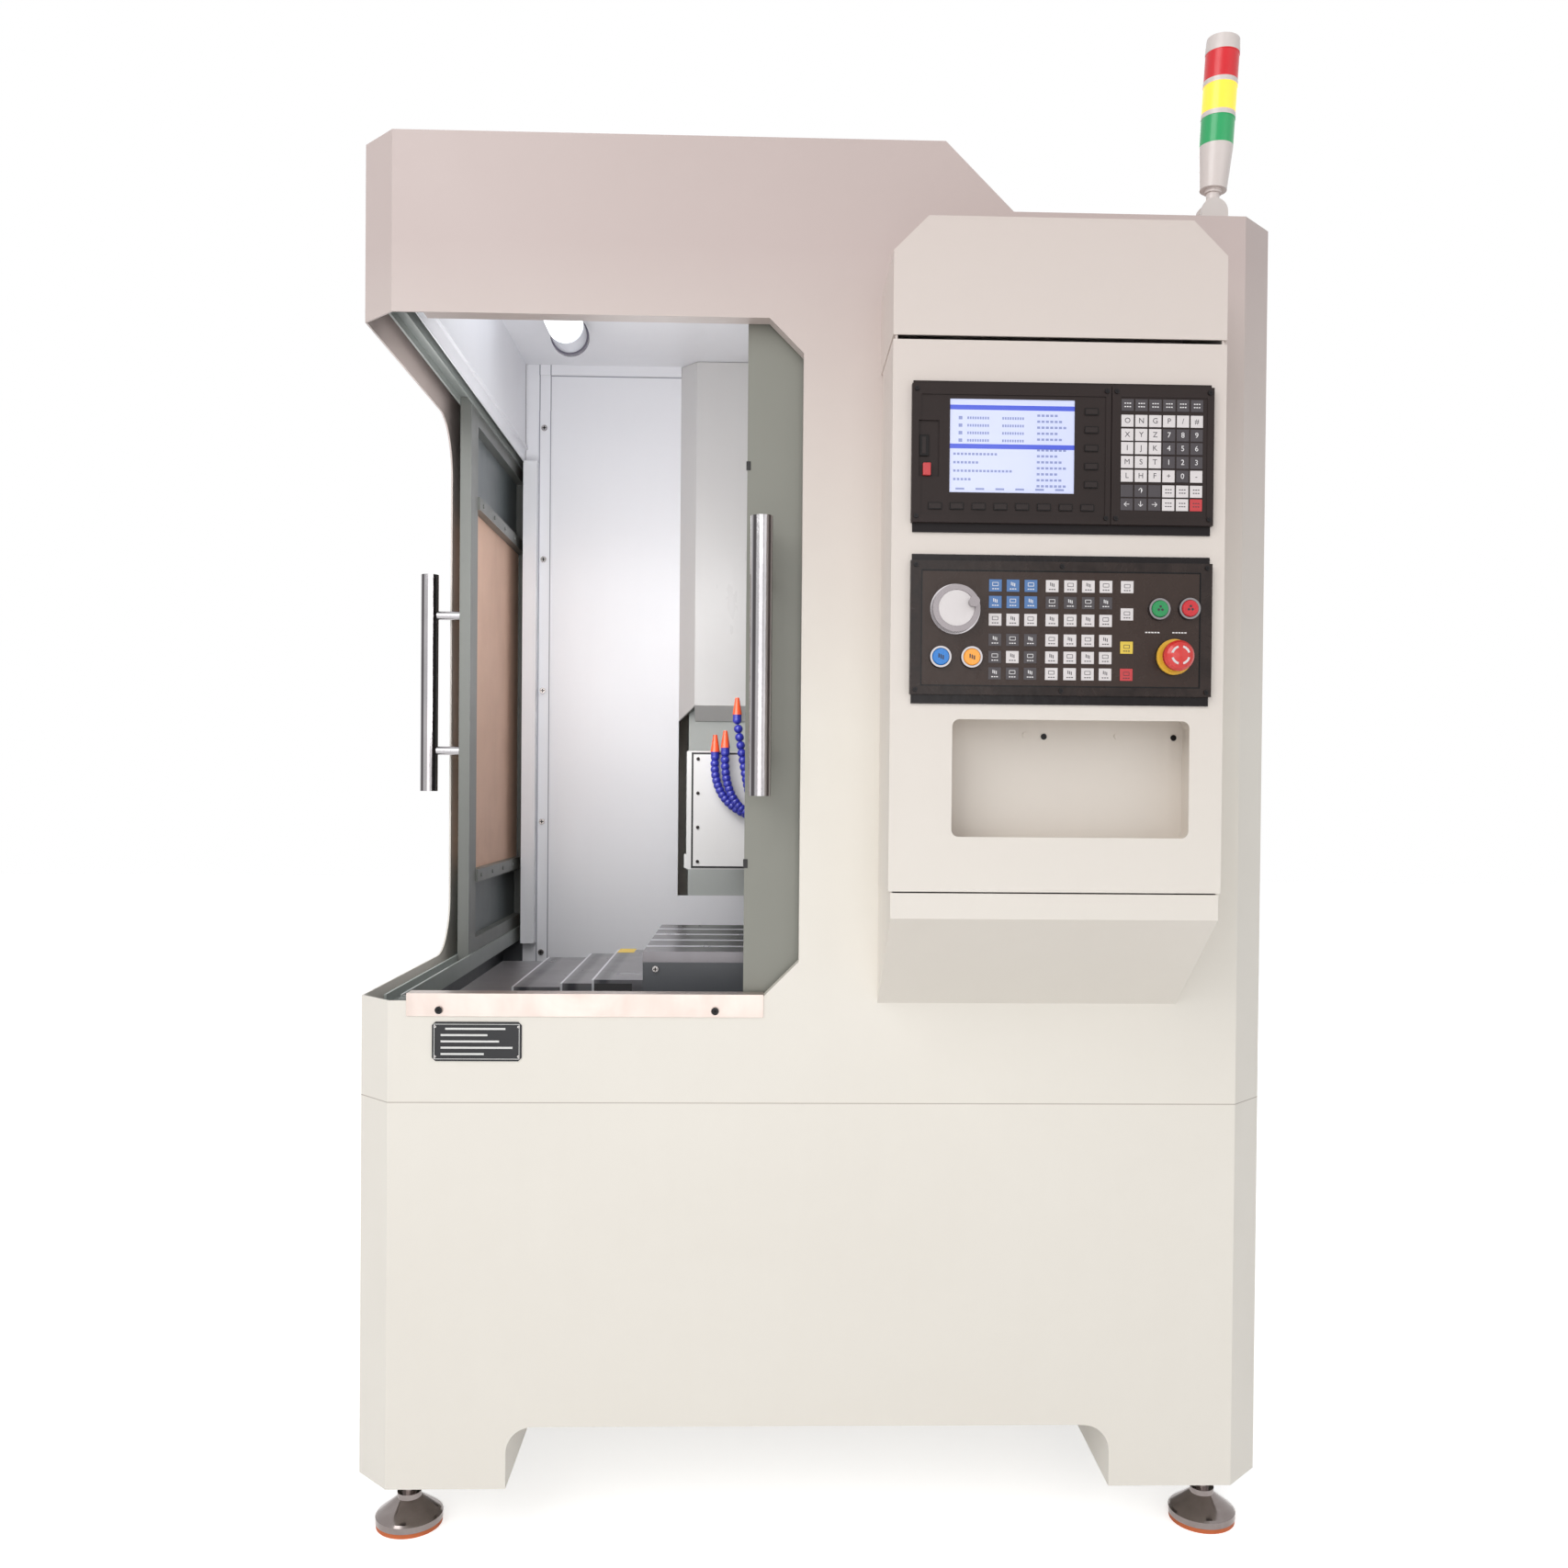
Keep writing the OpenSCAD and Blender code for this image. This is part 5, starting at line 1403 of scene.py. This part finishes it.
def screws() -> list[Screws]:
    """Screws whose heads show at the front."""
    black = {"finish": "screw_black", "hexagon": True}
    strip = tuple(136.0 + 286 * k for k in range(5))
    edge = (14.0, 74.0, 134.0, 194.0)
    return [
        Screws("back_wall", "cabinet", "chamber_lining", 13, (41.0,), strip),
        Screws("sill_trim", "cabinet", "stainless", 11, (47.0, 445.0), (9.0,), "screw_black"),
        Screws("display_unit", *UNIT, 6, (6.0, 257.0), (20.0, 187.0), **black),
        Screws("keypad_unit", *UNIT, 6, (6.0, 130.0), (8.0, 175.0), **black),
        Screws("operator_panel", *UNIT, 6, (7.0, 200.0, 393.0), (18.0, 182.0), **black),
        Screws("nameplate", "cabinet", "plate_metal", 3.5, (4.5, 124.5), (7.0, 50.0)),
        Screws("table_guard", "table", "cover_steel", 10, (20.0, 195.0, 335.0, 510.0), (86.0,)),
        Screws("head_cover", "head", "head_paint", 6, (24.0, 408.0), edge, "key_soft"),
        Screws(
            "document_pocket", "cabinet", "cream_paint", 8, (150.5, 330.5), (150.5,),
            face=66.4, **black,
        ),
    ]


@dataclass(frozen=True)
class Lamp:
    """Soft lamp: a square one that faces its aim, or a round one that has none."""

    name: str
    place: Point
    size: float
    power: float
    aim: Point | None = None

    def hang(self) -> None:
        """Puts the lamp in the scene."""
        light = bpy.data.lights.new(self.name, "AREA" if self.aim else "POINT")
        light.energy = self.power
        lamp = placed(self.name, light)
        lamp.location = self.place
        if self.aim:
            light.size = self.size
            way = Vector(self.aim) - Vector(self.place)
            lamp.rotation_euler = way.to_track_quat("-Z", "Y").to_euler()
        else:
            light.shadow_soft_size = self.size


@dataclass
class Studio:
    """Floor, backdrop, lights, surroundings and camera."""

    middle: Point = (0.0, 0.0, 1.0)
    floor_half: float = 14.0
    even_light: float = 0.4
    seen_light: float = 0.6
    chamber_x: float = -0.34
    chamber_z: float = 1.46
    lens: float = 31.63
    sensor: float = 36.0
    shift: tuple[float, float] = (-0.0085, 0.012)
    eye: Point = (-0.0635, -2.676, 1.118)
    heading: float = -1.60
    tilt: float = 90 - 0.65
    roll: float = 0.5

    def build(self) -> None:
        """Builds the stage and points the camera."""
        self._floor()
        self._world()
        for lamp in self._lamps():
            lamp.hang()
        self._camera()

    def _lamps(self) -> list[Lamp]:
        """The room's four lamps and the two that light the chamber."""
        lo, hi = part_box("work_light")
        x, y = (lo.x + hi.x) / 2, (lo.y + hi.y) / 2
        fill_z = self.chamber_z
        door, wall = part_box("front_door")[0].y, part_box("back_wall")[0].y
        return [
            Lamp("key_lamp", (-2.6, -4.2, 4.0), 3.2, 104, self.middle),
            Lamp("fill_lamp", (3.4, -4.4, 2.6), 3.2, 20, self.middle),
            Lamp("front_lamp", (-0.4, -5.0, 1.3), 3.0, 42, (0.0, 0.0, 0.9)),
            Lamp("rear_lamp", (1.2, 4.8, 3.0), 3.2, 60, self.middle),
            Lamp("chamber_lamp", (x + 0.2, y + 0.05, lo.z - 0.3), 0.15, 1.5),
            Lamp(
                "chamber_fill", (self.chamber_x, door + 0.06, fill_z), 0.46, 3.4,
                (self.chamber_x, wall, fill_z),
            ),
        ]

    def _floor(self) -> None:
        """Builds the pale floor, which shows white and keeps the machine's shadow."""
        bm = bmesh.new()
        bmesh.ops.create_grid(bm, x_segments=1, y_segments=1, size=self.floor_half)
        mesh = bpy.data.meshes.new("floor")
        bm.to_mesh(mesh)
        bm.free()
        floor = placed("floor", mesh)
        material, t, shader = new_material("floor_white")
        light = t.maths("MULTIPLY", t.seen_directly(), self.seen_light)
        t.fill(
            shader, in_Base_Color=(*linear(250, 250, 250), 1), in_Roughness=0.9,
            in_Emission_Color=(1, 1, 1, 1), in_Emission_Strength=light,
        )
        mesh.materials.append(material)

    def _world(self) -> None:
        """Sets the even light round the machine, which shows white behind it."""
        world = bpy.data.worlds.new("studio")
        bpy.context.scene.world = world
        world.use_nodes = True
        t = Tree(world.node_tree)
        light = t.maths("MULTIPLY", t.seen_directly(), self.seen_light)
        strength = t.maths("ADD", light, self.even_light)
        t.fill(t.find("BACKGROUND"), in_Color=(1, 1, 1, 1), in_Strength=strength)

    def _camera(self) -> None:
        """Places the camera at standing height in front of the machine."""
        data = bpy.data.cameras.new("camera")
        data.lens = self.lens
        data.sensor_width = self.sensor
        data.shift_x, data.shift_y = self.shift
        camera = placed("camera", data)
        camera.location = self.eye
        turns = zip((self.heading, self.tilt, self.roll), "ZXZ")
        heading, tilt, roll = (Matrix.Rotation(math.radians(a), 3, axis) for a, axis in turns)
        camera.rotation_euler = (heading @ tilt @ roll).to_euler()
        bpy.context.scene.camera = camera


def dress_frame(frame: dict, wardrobe: Wardrobe) -> None:
    """Puts its finish on every CAD node.

    Args:
        wardrobe: The materials.
    """
    record = frame["record"]
    openings = record["physics"]["openings"]
    throats = [o["box_m"] for o in openings if o["name"].startswith("t_slot_throat")]
    special = node_finishes([(low[1], high[1]) for low, high in throats])
    slots = {part["node"]: part["material_slot"] for part in record.get("subparts", [])}
    for name, obj in frame["nodes"].items():
        # The control box takes the cream with painted shade towards the top.
        slot = "upper_cream_painted_shade" if name in CONTROL_BOX else slots.get(name) or "cream_paint"
        finish = special.get(name) or FINISHES[slot]
        wardrobe.dress(obj, finish)
        LOG.info("%s: %s", name, finish.name)


def main() -> None:
    """Loads the frame, dresses it and adds the fine detail."""
    logging.basicConfig(level=logging.INFO, format="%(name)s %(message)s")
    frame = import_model()
    bpy.context.scene.view_settings.view_transform = "Standard"
    Studio().build()
    wardrobe = Wardrobe()
    dress_frame(frame, wardrobe)
    maker = Maker(wardrobe)
    for unit in (KeypadUnit, DisplayUnit, OperatorPanel, RoundControls, Trim):
        unit(maker).build()
    for group in screws():
        group.build(maker)


if __name__ == "__main__":
    main()
